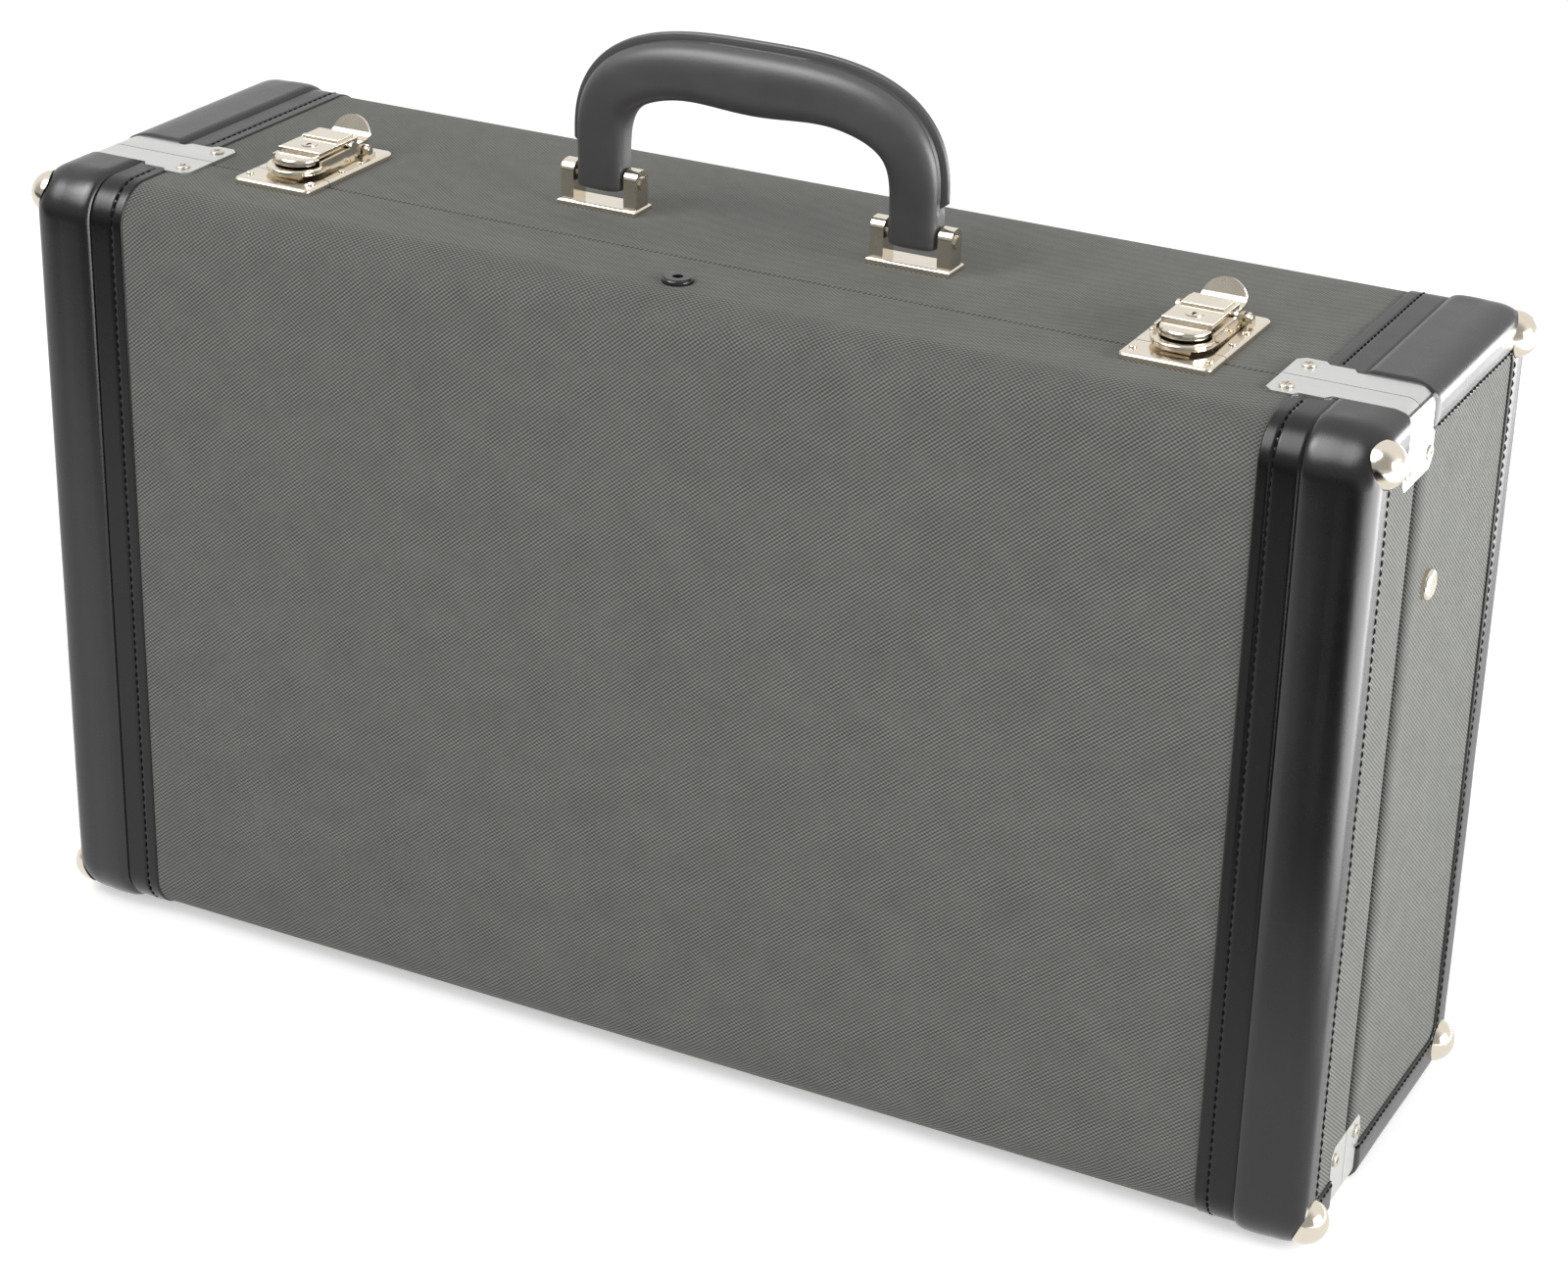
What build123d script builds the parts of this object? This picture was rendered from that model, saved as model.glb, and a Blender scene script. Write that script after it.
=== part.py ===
from build123d import *
import math
import os

# A hard instrument case for two trumpets, standing upright on its hinged long side.
# Millimetres. X runs along the case, Y from its lid (low) to its back (high), Z up.
# The origin is at the middle of the face that the case stands on.

# Driving sizes of the case
case_length = 600.0
case_depth = 185.0
case_height = 350.0
lid_depth = 53.0
seam_gap = 0.4
long_edge_radius = 20.0
end_edge_radius = 8.0

# Layers, from the outside in
padded_leather = 3.2
strip_leather = 1.6
end_panel_thickness = 1.6
textile_thickness = 0.8
board_thickness = 5.0
body_lining_thickness = 1.5
lid_lining_thickness = 1.0

# Leather ends
band_width = 46.0
padded_width = 27.5
shoulder_run = 4.0
end_border = 18.0
end_window_radius = 6.0

# Closing rail, which stands out of the body into the lid
rail_thickness = 3.0
rail_reach = 8.0

# Hinges on the standing face
hinge_from_end = 110.0
hinge_length = 60.0
hinge_leaf_width = 14.0
hinge_leaf_thickness = 0.8
hinge_knuckles = 5
knuckle_radius = 2.2
knuckle_gap = 0.3
hinge_pin_radius = 1.1
hinge_pin_clearance = 0.05
hinge_rebate_clearance = 0.5
hinge_relief = 3.0
hinge_rivet_radius = 1.3
hinge_rivet_length = 5.6
hinge_rivet_head_radius = 2.4
hinge_rivet_head_height = 0.7
hinge_rivet_spacing = 22.0

# Seam brackets at the four corners of the seam
bracket_thickness = 1.2
bracket_reach = 57.0
bracket_lobe = 19.5
bracket_neck = 17.0
bracket_waist = 14.0
bracket_drop = 33.0
bracket_step = 2.0
bracket_corner = 3.0
bracket_lobe_length = 11.0
bracket_neck_length = 10.0
bracket_screw_spread = 12.3
bracket_screw_from_end = 50.5
bracket_screw_drop = 26.0
screw_head_radius = 3.0
screw_head_height = 1.0
screw_shank_radius = 1.4
screw_length = 6.5
screw_slot_width = 0.8
screw_slot_depth = 0.5
fixing_clearance = 0.05

# Corner domes
dome_radius = 9.5
dome_height = 7.0
dome_inset = 13.0
dome_skirt = 11.0
dome_nail_radius = 1.6
dome_nail_length = 7.5

# Rivet on the right end, and the stud on the lid
end_rivet_behind_seam = 28.5
end_rivet_below_top = 86.0
end_rivet_radius = 6.3
end_rivet_height = 3.0
end_rivet_shank_radius = 2.0
stud_before_seam = 26.5
stud_radius = 6.5
stud_height = 2.2
stud_recess_radius = 2.2
stud_recess_depth = 1.2
stud_shank_radius = 2.0
stud_shank_length = 5.0

# Handle
handle_span = 144.0
handle_rise = 40.3
handle_shoulder = 26.0
handle_roundness = 3.1
handle_leg_width = 21.8
handle_leg_depth = 14.4
handle_grip_width = 25.0
handle_grip_depth = 23.0
handle_swell = 2.6
handle_swell_reach = 40.0
handle_section_roundness = 0.4
handle_fin_height = 3.0
handle_fin_thickness = 3.0
handle_fin_root = 2.5
handle_sections = 15
handle_pin_height = 13.0
handle_foot_drop = 4.0
handle_foot_rounding = 1.5
handle_pin_radius = 2.0
handle_pin_clearance = 0.05
handle_pin_head_radius = 2.8
handle_pin_head_height = 0.8

# Handle mounts
handle_leg_clearance = 1.1
mount_plate_depth = 14.5
mount_plate_thickness = 2.6
mount_plate_edge = 1.0
mount_plate_margin = 0.6
mount_ear_thickness = 6.0
mount_ear_depth = 10.0
mount_ear_height = 18.6
mount_ear_rounding = 4.0
mount_rivet_spread = 16.0
mount_rivet_radius = 1.5
mount_rivet_length = 7.0

# Latches: heights are above the textile on top of the case, and Y is measured from the seam
latch_from_end = 98.0
latch_plate_width = 38.0
latch_plate_front = -16.5
latch_plate_rear = 49.5
latch_plate_thickness = 3.0
latch_plate_corner = 3.0
latch_plate_edge = 1.4
latch_pivot_y = 36.5
latch_pivot_height = 5.7
latch_pivot_radius = 1.2
latch_pivot_clearance = 0.05
latch_pivot_head = 0.8
latch_ear_radius = 2.6
cheek_gap = 0.6
cheek_thickness = 1.5
cheek_foot_half_length = 5.0
cheek_foot_height = 1.4
hasp_width = 25.4
hasp_nose_centre = 3.5
hasp_floor = 4.6
hasp_thickness = 2.2
hasp_rear = 20.5
hasp_side_thickness = 1.3
hasp_side_front = 4.0
hasp_side_height = 4.4
hasp_edge = 0.8
hook_width = 12.0
hook_front = -5.4
hook_depth = 1.4
hook_clearance = 0.3
catch_lug_height = 1.0
catch_lug_depth = 2.6
catch_lug_gap = 0.5
lever_gap = 0.8
lever_pivot_y = 28.0
lever_pivot_height = 9.4
lever_pivot_radius = 1.2
lever_pivot_clearance = 0.05
lever_ear_radius = 2.2
lever_width = 20.6
lever_cap_centre = 5.5
lever_cap_height = 3.0
lever_cap_edge = 1.6
lever_housing_height = 4.8
lever_housing_rear = 34.5
lever_housing_edge = 0.7
lever_ridge_length = 13.0
lever_ridge_width = 17.4
lever_ridge_height = 1.0
thumb_width = 19.0
thumb_thickness = 1.4
thumb_root = 30.0
thumb_run_end = 41.5
thumb_drop = 0.7
thumb_bend_radius = 4.0
thumb_bend_angle = 70.0
thumb_length = 6.6
cylinder_y = 13.5
cylinder_radius = 3.6
cylinder_clearance = 0.05
cylinder_floor = 0.8
cylinder_proud = 0.3
keyhole_radius = 0.9
keyhole_slot_width = 0.8
keyhole_slot_length = 2.6
keyhole_depth = 3.0
latch_rivet_radius = 1.3
latch_rivet_length = 7.0
latch_rivet_head_radius = 1.6
latch_rivet_head_height = 0.8
latch_rivets_body = ((16.2, 13.5), (16.2, 28.0))
latch_rivets_lid = ((15.5, -8.5),)

# Inside of the case
insert_behind_seam = 9.5
insert_clearance = 0.5
compartment_width = 84.0
compartment_wall = 4.0
compartment_gap = 0.5
divider_height = 118.0
bell_length = 176.0
valve_length = 92.0
valve_from_bell = 300.0
recess_end_gap = 6.0
smallest_column = 0.5
mouthpiece_radius = 13.5
mouthpiece_depth = 62.0
mouthpiece_spacing = 33.0
mouthpiece_count = 3
mouthpiece_block_depth = 75.0
lid_pad_thickness = 18.0
lid_pad_margin = 10.0
lid_pad_rounding = 6.0
soft_clearance = 0.3

# Each trumpet's recess is stated by three margins: from the middle between the two
# trumpets, from the insert's outer side, and from the insert's back to the recess's floor
bell_margins = (24.0, 14.8, 6.5)
throat_margins = (58.0, 48.8, 42.3)
tubing_margins = (11.0, 41.8, 44.3)
valve_margins = (-5.0, 25.8, 20.3)

# Places worked out from the sizes above
half_length = case_length / 2
half_depth = case_depth / 2
seam_y = -half_depth + lid_depth
latch_place = half_length - latch_from_end
hinge_places = (hinge_from_end - half_length, 0.0, half_length - hinge_from_end)
stud_y = seam_y - stud_before_seam
end_rivet_y = seam_y + end_rivet_behind_seam
end_rivet_z = case_height - end_rivet_below_top
insert_front = seam_y + insert_behind_seam
shell_inset = padded_leather
strip_inset = shell_inset - strip_leather
panel_inset = shell_inset - end_panel_thickness
textile_inset = shell_inset - textile_thickness
bracket_inset = textile_inset - bracket_thickness
lining_inset = shell_inset + board_thickness
rail_inset = lining_inset + body_lining_thickness
insert_inset = rail_inset + insert_clearance
top_z = case_height - textile_inset
hinge_z = textile_inset
compartment_x = half_length - insert_inset - compartment_width
far = 2 * case_length
ENDS = (-1, 1)
BODY = 1
LID = -1


def block(low, high):
    """A box between two opposite corners."""
    size = [b - a for a, b in zip(low, high)]
    centre = [(a + b) / 2 for a, b in zip(low, high)]
    return Pos(*centre) * Box(*size)


def rod_x(radius, low, high, y, z):
    """A round bar along X."""
    return Pos((low + high) / 2, y, z) * Rot(0, 90, 0) * Cylinder(radius, high - low)


def rod_z(radius, x, y, low, high):
    """A round bar along Z."""
    return Pos(x, y, (low + high) / 2) * Cylinder(radius, high - low)


def peg(radius, place, way, length):
    """A round peg that starts at a place and runs along a direction."""
    return Plane(origin=place, z_dir=way) * Pos(0, 0, length / 2) * Cylinder(radius, length)


def opposite(way):
    return tuple(-part for part in way)


def prism(points, plane, low, high):
    """A closed outline, extruded along the plane's normal from low to high."""
    outline = make_face(Polyline(*points, close=True))
    return extrude(plane.offset(low) * outline, high - low)


def cut_all(shape, tools):
    for tool in tools:
        shape = shape - tool
    return shape


def group(shapes):
    """Separate solids that share one node."""
    solids = []
    for shape in shapes:
        solids.extend(shape.solids())
    return Compound(solids)


# The case's form and its layers

def case_form(inset):
    """The case's rounded outer form, drawn in by an inset on every side."""
    form = Pos(0, 0, case_height / 2) * Box(
        case_length - 2 * inset, case_depth - 2 * inset, case_height - 2 * inset
    )
    form = fillet(form.edges().filter_by(Axis.X), long_edge_radius - inset)
    end_radius = end_edge_radius - inset
    if end_radius > 0.5:
        form = fillet(form.faces().filter_by(Axis.X).edges(), end_radius)
    return form


def layer(outer_inset, inner_inset):
    return case_form(outer_inset) - case_form(inner_inset)


def half_space(side):
    """Everything on one side of the seam, half a seam gap away from it."""
    if side == BODY:
        return block((-far, seam_y + seam_gap / 2, -far), (far, far, far))
    return block((-far, -far, -far), (far, seam_y - seam_gap / 2, far))


def middle_zone():
    """The stretch of the case between its leather ends."""
    reach = half_length - band_width
    return block((-reach, -far, -far), (reach, far, far))


def hinge_relief_cut():
    """Room at the standing face for what turns about the hinge line."""
    return block((-far, seam_y - hinge_relief, -far), (far, seam_y + hinge_relief, hinge_z))


def knuckle_rebates():
    """Room in the seam's edges for the hinge knuckles."""
    half = hinge_length / 2 + hinge_rebate_clearance
    reach = knuckle_radius + hinge_rebate_clearance
    return [
        block((x - half, seam_y - reach, -far), (x + half, seam_y + reach, hinge_z + reach))
        for x in hinge_places
    ]


# Fixings: each is a head's seat and the direction that its shank takes inwards

def bracket_screw_places(side):
    y = seam_y + side * bracket_screw_spread
    places = []
    for end in ENDS:
        x = end * (half_length - bracket_screw_from_end)
        places.append(((x, y, case_height - bracket_inset), (0, 0, -1)))
        places.append(((x, y, bracket_inset), (0, 0, 1)))
        for z in (bracket_screw_drop, case_height - bracket_screw_drop):
            places.append(((end * (half_length - bracket_inset), y, z), (-end, 0, 0)))
    return places


def dome_places(side):
    y = side * (half_depth - dome_inset)
    return [
        ((end * half_length, y, z), (-end, 0, 0))
        for end in ENDS
        for z in (dome_inset, case_height - dome_inset)
    ]


def hinge_rivet_places(side):
    y = seam_y + side * (knuckle_radius + hinge_leaf_width) / 2
    z = hinge_z - hinge_leaf_thickness
    return [
        ((x + step * hinge_rivet_spacing, y, z), (0, 0, 1))
        for x in hinge_places
        for step in (-1, 0, 1)
    ]


def latch_rivet_places(side):
    spots = latch_rivets_body if side == BODY else latch_rivets_lid
    z = top_z + latch_plate_thickness
    return [
        ((end * latch_place + hand * across, seam_y + y, z), (0, 0, -1))
        for end in ENDS
        for across, y in spots
        for hand in ENDS
    ]


def mount_rivet_places():
    z = top_z + mount_plate_thickness
    return [
        ((end * handle_span / 2 + hand * mount_rivet_spread / 2, 0, z), (0, 0, -1))
        for end in ENDS
        for hand in ENDS
    ]


def end_rivet_place():
    return ((half_length - panel_inset, end_rivet_y, end_rivet_z), (-1, 0, 0))


def end_rivet_length():
    """From the end panel through the board and the compartment's wall."""
    return insert_inset + compartment_wall - panel_inset


def holes(places, radius, length):
    return [peg(radius + fixing_clearance, place, way, length) for place, way in places]


def bracket_holes(side):
    return holes(bracket_screw_places(side), screw_shank_radius, screw_length)


def dome_holes(side):
    return holes(dome_places(side), dome_nail_radius, dome_nail_length)


def hinge_holes(side):
    return holes(hinge_rivet_places(side), hinge_rivet_radius, hinge_rivet_length)


def latch_holes(side):
    return holes(latch_rivet_places(side), latch_rivet_radius, latch_rivet_length)


def mount_holes():
    return holes(mount_rivet_places(), mount_rivet_radius, mount_rivet_length)


def end_rivet_hole():
    return holes([end_rivet_place()], end_rivet_shank_radius, end_rivet_length())


def stud_hole():
    return holes([((0, stud_y, top_z), (0, 0, -1))], stud_shank_radius, stud_shank_length)


def shell_holes(side):
    tools = bracket_holes(side) + dome_holes(side) + hinge_holes(side) + latch_holes(side)
    if side == BODY:
        return tools + mount_holes() + end_rivet_hole()
    return tools + stud_hole()


# Walls and covers

def shell(side):
    """The wooden box on one side of the seam."""
    walls = layer(shell_inset, lining_inset) & half_space(side)
    return cut_all(walls, knuckle_rebates() + shell_holes(side))


def textile(side):
    """The woven cover between the leather ends."""
    cover = layer(textile_inset, shell_inset) & middle_zone() & half_space(side)
    tools = hinge_holes(side) + latch_holes(side) + bracket_holes(side)
    tools += mount_holes() if side == BODY else stud_hole()
    return cut_all(cover, knuckle_rebates() + tools)


def end_window(low, high):
    """The end face inside its leather border."""
    outline = RectangleRounded(
        case_depth - 2 * end_border, case_height - 2 * end_border, end_window_radius
    )
    return extrude(Plane.YZ.offset(low) * Pos(0, case_height / 2) * outline, high - low)


def on_end(end, low, high):
    """The end window between two distances from the case's middle."""
    if end > 0:
        return end_window(low, high)
    return end_window(-high, -low)


def end_panels(side):
    """The woven panels set into the leather borders of both end faces."""
    panels = []
    for end in ENDS:
        panel = on_end(end, half_length - shell_inset, half_length - panel_inset)
        panel = panel & half_space(side)
        panel = cut_all(panel, bracket_pockets(side) + bracket_holes(side))
        if side == BODY:
            panel = cut_all(panel, end_rivet_hole())
        panels.append(panel)
    return group(panels)


def form_section(x, inset):
    """The case's cross-section as a face."""
    outline = RectangleRounded(
        case_depth - 2 * inset, case_height - 2 * inset, long_edge_radius - inset
    )
    return Plane.YZ.offset(x) * Pos(0, case_height / 2) * outline


def end_zone(end, start, stop):
    """The stretch of the case between two distances from its end."""
    low, high = sorted((end * (half_length - start), end * (half_length - stop)))
    return block((low, -far, -far), (high, far, far))


def leather_band(end):
    """The whole leather end: a padded part, its shoulder, and a flat strip."""
    foot = padded_width + shoulder_run
    padded = case_form(0) & end_zone(end, padded_width, -1)
    shoulder = loft(
        [
            form_section(end * (half_length - foot), strip_inset),
            form_section(end * (half_length - padded_width), 0),
        ],
        ruled=True,
    )
    strip = case_form(strip_inset) & end_zone(end, band_width, foot)
    band = padded + shoulder + strip
    return band - case_form(shell_inset) - on_end(end, half_length - shell_inset, half_length + 1)


def leather(side):
    tools = [hinge_relief_cut()] + bracket_pockets(side) + bracket_holes(side) + dome_holes(side)
    bands = [cut_all(leather_band(end) & half_space(side), tools) for end in ENDS]
    return group(bands)


# Seam brackets

def bracket_profile(lobe, reach, steps):
    """Half of a bracket's outline: distance from the case's corner, distance from the seam."""
    points = [(reach, seam_gap / 2), (reach, lobe - bracket_corner), (reach - bracket_corner, lobe)]
    points += steps
    return points + [(-bracket_corner, bracket_waist), (-bracket_corner, seam_gap / 2)]


def face_profile():
    lobe_end = bracket_reach - bracket_lobe_length
    neck_start = lobe_end - bracket_step
    neck_end = neck_start - bracket_neck_length
    steps = [
        (lobe_end, bracket_lobe),
        (neck_start, bracket_neck),
        (neck_end, bracket_neck),
        (neck_end - bracket_step, bracket_waist),
    ]
    return bracket_profile(bracket_lobe, bracket_reach, steps)


def end_profile():
    lobe_end = bracket_drop - bracket_lobe_length - bracket_corner
    steps = [(lobe_end, bracket_neck), (lobe_end - bracket_step, bracket_waist)]
    return bracket_profile(bracket_neck, bracket_drop, steps)


def bracket_tools(side):
    """The outlines of the four brackets on one side of the seam, as solids through the skin."""
    tools = []
    for end in ENDS:
        for up in (False, True):
            face_points = [
                (end * (half_length - away), seam_y + side * across)
                for away, across in face_profile()
            ]
            end_points = [
                (seam_y + side * across, case_height - away if up else away)
                for away, across in end_profile()
            ]
            corner = case_height - end_edge_radius if up else end_edge_radius
            low, high = sorted((corner, far if up else -far))
            face_part = prism(face_points, Plane.XY, low, high)
            low, high = sorted((end * (half_length - end_edge_radius), end * far))
            end_part = prism(end_points, Plane.YZ, low, high)
            tools.append(face_part + end_part)
    return tools


def bracket_pockets(side):
    core = case_form(textile_inset)
    return [tool - core for tool in bracket_tools(side)]


def brackets(side):
    sheet = layer(bracket_inset, textile_inset) - hinge_relief_cut()
    plates = [cut_all(sheet & tool, bracket_holes(side)) for tool in bracket_tools(side)]
    return group(plates)


def bracket_screws(side):
    screws = []
    for place, way in bracket_screw_places(side):
        head = peg(screw_head_radius, place, opposite(way), screw_head_height)
        head = fillet(head.edges().filter_by(GeomType.CIRCLE), screw_head_height * 0.4)
        frame = Plane(origin=place, z_dir=opposite(way))
        slot_z = screw_head_height - screw_slot_depth / 2
        cross = Box(2 * screw_head_radius, screw_slot_width, screw_slot_depth)
        cross += Box(screw_slot_width, 2 * screw_head_radius, screw_slot_depth)
        cross = cross & Cylinder(screw_head_radius * 0.6, screw_slot_depth)
        screw = head + peg(screw_shank_radius, place, way, screw_length)
        screws.append(screw - frame * Pos(0, 0, slot_z) * cross)
    return group(screws)


def corner_domes(side):
    domes = []
    for (x, y, z), way in dome_places(side):
        end = -way[0]
        centre = x + end * (dome_height - dome_radius)
        ball = Pos(centre, y, z) * Sphere(dome_radius)
        skirt = peg(dome_radius, (centre, y, z), way, dome_skirt)
        nail = peg(dome_nail_radius, (x + end, y, z), way, dome_nail_length + 1)
        domes.append((ball + skirt - case_form(0)) + nail)
    return group(domes)


# Hinges

def hinge_leaves(side):
    pitch = hinge_length / hinge_knuckles
    first = 0 if side == BODY else 1
    bore = hinge_pin_radius + (0 if side == BODY else hinge_pin_clearance)
    leaf_low = hinge_z - hinge_leaf_thickness
    inner = knuckle_radius + knuckle_gap
    leaves = []
    for x in hinge_places:
        start = x - hinge_length / 2
        near, outer = sorted((seam_y + side * inner, seam_y + side * hinge_leaf_width))
        leaf = block((start, near, leaf_low), (start + hinge_length, outer, hinge_z))
        for index in range(first, hinge_knuckles, 2):
            low = start + index * pitch + knuckle_gap / 2
            high = low + pitch - knuckle_gap
            near, outer = sorted((seam_y, seam_y + side * (inner + knuckle_gap)))
            leaf += block((low, near, leaf_low), (high, outer, hinge_z))
            leaf += rod_x(knuckle_radius, low, high, seam_y, hinge_z)
        leaf -= rod_x(bore, start - 1, start + hinge_length + 1, seam_y, hinge_z)
        leaves.append(cut_all(leaf, hinge_holes(side)))
    return group(leaves)


def hinge_pins():
    half = hinge_length / 2
    return group([rod_x(hinge_pin_radius, x - half, x + half, seam_y, hinge_z) for x in hinge_places])


def rivets(places, head_radius, head_height, shank_radius, length):
    """Round-headed rivets, each head outside its seat."""
    pieces = []
    for place, way in places:
        head = peg(head_radius, place, opposite(way), head_height)
        rim = head.edges().filter_by(GeomType.CIRCLE).sort_by_distance(place)[-1]
        head = fillet(rim, head_height * 0.6)
        pieces.append(head + peg(shank_radius, place, way, length))
    return group(pieces)


def hinge_rivets(side):
    return rivets(
        hinge_rivet_places(side),
        hinge_rivet_head_radius,
        hinge_rivet_head_height,
        hinge_rivet_radius,
        hinge_rivet_length,
    )


def end_rivet():
    return rivets(
        [end_rivet_place()],
        end_rivet_radius,
        end_rivet_height,
        end_rivet_shank_radius,
        end_rivet_length(),
    )


def lid_stud():
    """The round rubber stud that the folded handle rests on."""
    place = (0, stud_y, top_z)
    stud = peg(stud_radius, place, (0, 0, 1), stud_height)
    stud = fillet(stud.faces().sort_by(Axis.Z)[-1].edges(), stud_height * 0.6)
    recess = rod_z(stud_recess_radius, 0, stud_y, top_z + stud_height - stud_recess_depth, far)
    return stud - recess + peg(stud_shank_radius, place, (0, 0, -1), stud_shank_length)


# Handle

def arch_point(turn):
    """The handle's centre line, a superellipse from the right leg (0) to the left one (pi)."""
    power = 2 / handle_roundness
    along = math.cos(turn)
    x = handle_span / 2 * math.copysign(abs(along) ** power, along)
    rise = abs(math.sin(turn)) ** power
    return x, rise


def arch_normal(turn):
    """The outward direction from the centre line, in X and Z."""
    x, rise = arch_point(turn)
    reach = x / (handle_span / 2)
    across = math.copysign(abs(reach) ** (handle_roundness - 1), reach) / (handle_span / 2)
    upward = rise ** (handle_roundness - 1) / handle_rise
    length = math.hypot(across, upward)
    return across / length, upward / length


def arch_width(rise):
    return handle_leg_width + (handle_grip_width - handle_leg_width) * rise


def arch_place(turn, offset):
    """A point beside the centre line, offset along its outward direction."""
    x, rise = arch_point(turn)
    across, upward = arch_normal(turn)
    z = top_z + handle_shoulder + handle_rise * rise
    return x + across * offset, z + upward * offset


def leg_section():
    rounding = handle_section_roundness * handle_leg_depth
    return RectangleRounded(handle_leg_width, handle_leg_depth, rounding)


def grip_swell(x):
    """How much thicker the grip is on its inner side, most at the handle's middle."""
    if abs(x) > handle_swell_reach:
        return 0.0
    return handle_swell * math.cos(math.pi / 2 * x / handle_swell_reach) ** 2


def arch_section(turn):
    x, rise = arch_point(turn)
    swell = grip_swell(x)
    x, z = arch_place(turn, -swell / 2)
    across, upward = arch_normal(turn)
    depth = handle_leg_depth + (handle_grip_depth - handle_leg_depth) * rise ** 1.5
    outline = RectangleRounded(arch_width(rise) + swell, depth, handle_section_roundness * depth)
    frame = Plane(origin=(x, 0, z), x_dir=(across, 0, upward), z_dir=(-upward, 0, across))
    return frame * outline


def handle_fin():
    """The welt along the handle's outer side."""
    turns = [math.pi * i / (handle_sections - 1) for i in range(handle_sections)]
    outer = []
    inner = []
    for turn in turns:
        half_width = arch_width(arch_point(turn)[1]) / 2
        outer.append(arch_place(turn, half_width + handle_fin_height))
        inner.append(arch_place(turn, half_width - handle_fin_root))
    edges = [
        Spline(*outer),
        Line(outer[-1], inner[-1]),
        Spline(*inner[::-1]),
        Line(inner[0], outer[0]),
    ]
    face = make_face(edges)
    return extrude(Plane.XZ.offset(-handle_fin_thickness / 2) * face, handle_fin_thickness)


def handle_leg(end):
    """A straight leg with a blunt foot a little below the pin."""
    foot_height = handle_pin_height - handle_foot_drop
    leg = extrude(
        Pos(end * handle_span / 2, 0, top_z + foot_height) * leg_section(),
        handle_shoulder - foot_height,
    )
    return fillet(leg.faces().sort_by(Axis.Z)[0].edges(), handle_foot_rounding)


def handle():
    turns = [math.pi * i / (handle_sections - 1) for i in range(handle_sections)]
    arch = loft([arch_section(turn) for turn in turns])
    whole = arch + handle_fin()
    for end in ENDS:
        x = end * handle_span / 2
        whole += handle_leg(end)
        bore = handle_pin_radius + handle_pin_clearance
        pin_z = top_z + handle_pin_height
        whole -= rod_x(bore, x - handle_leg_width, x + handle_leg_width, 0, pin_z)
    return whole


def mount_half_width():
    """Half of a mount's width across its two ears."""
    return handle_leg_width / 2 + handle_leg_clearance + mount_ear_thickness


def handle_mounts():
    mounts = []
    ear_out = mount_half_width()
    ear_in = ear_out - mount_ear_thickness
    plate_half = ear_out + mount_plate_margin
    for end in ENDS:
        x = end * handle_span / 2
        plate = block(
            (x - plate_half, -mount_plate_depth / 2, top_z),
            (x + plate_half, mount_plate_depth / 2, top_z + mount_plate_thickness),
        )
        plate = fillet(plate.faces().sort_by(Axis.Z)[-1].edges(), mount_plate_edge)
        for hand in ENDS:
            low, high = sorted((x + hand * ear_in, x + hand * ear_out))
            ear = block(
                (low, -mount_ear_depth / 2, top_z + mount_plate_thickness / 2),
                (high, mount_ear_depth / 2, top_z + mount_ear_height),
            )
            ear = fillet(ear.faces().sort_by(Axis.Z)[-1].edges().filter_by(Axis.X), mount_ear_rounding)
            plate += ear
        pin = rod_x(handle_pin_radius, x - plate_half, x + plate_half, 0, top_z + handle_pin_height)
        mounts.append(cut_all(plate - pin, mount_holes()))
    return group(mounts)


def handle_pins():
    pins = []
    half = mount_half_width()
    z = top_z + handle_pin_height
    for end in ENDS:
        x = end * handle_span / 2
        pin = rod_x(handle_pin_radius, x - half, x + half, 0, z)
        for hand in ENDS:
            low, high = sorted((x + hand * half, x + hand * (half + handle_pin_head_height)))
            pin += rod_x(handle_pin_head_radius, low, high, 0, z)
        pins.append(pin)
    return group(pins)


def mount_rivets():
    return group([
        peg(mount_rivet_radius, place, way, mount_rivet_length) for place, way in mount_rivet_places()
    ])


# Latches: each piece is modelled about the latch's middle, then set on top of the case

def at_latch(end, shape):
    return Pos(end * latch_place, seam_y, top_z) * shape


def latch_plate(seam_side, far_side):
    """A plate that is rounded all along its rim, apart from its edge at the seam."""
    half = latch_plate_width / 2
    front, rear = sorted((seam_side, far_side))
    plate = block((-half, front, 0), (half, rear, latch_plate_thickness))
    far_face = plate.faces().sort_by(Axis.Y)[-1 if far_side > seam_side else 0]
    plate = fillet(far_face.edges().filter_by(Axis.Z), latch_plate_corner)
    rim = [
        edge for edge in plate.faces().sort_by(Axis.Z)[-1].edges()
        if abs(edge.center().Y - seam_side) > seam_gap
    ]
    return fillet(rim, latch_plate_edge)


def latch_cheek(hand):
    """One of the two upright cheeks beside the hasp, which carry its pivot."""
    cheek_in = hasp_width / 2 + cheek_gap
    low, high = sorted((hand * cheek_in, hand * (cheek_in + cheek_thickness)))
    cheek = block(
        (low, latch_pivot_y - cheek_foot_half_length, latch_plate_thickness),
        (high, latch_pivot_y + cheek_foot_half_length, latch_plate_thickness + cheek_foot_height),
    )
    cheek += block(
        (low, latch_pivot_y - latch_ear_radius, latch_plate_thickness),
        (high, latch_pivot_y + latch_ear_radius, latch_pivot_height),
    )
    cheek += rod_x(latch_ear_radius, low, high, latch_pivot_y, latch_pivot_height)
    return cheek - rod_x(latch_pivot_radius, low - 1, high + 1, latch_pivot_y, latch_pivot_height)


def latch_bases():
    plate = latch_plate(seam_gap / 2, latch_plate_rear)
    pieces = []
    for end in ENDS:
        pieces.append(cut_all(at_latch(end, plate), latch_holes(BODY)))
        pieces += [at_latch(end, latch_cheek(hand)) for hand in ENDS]
    return group(pieces)


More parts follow.
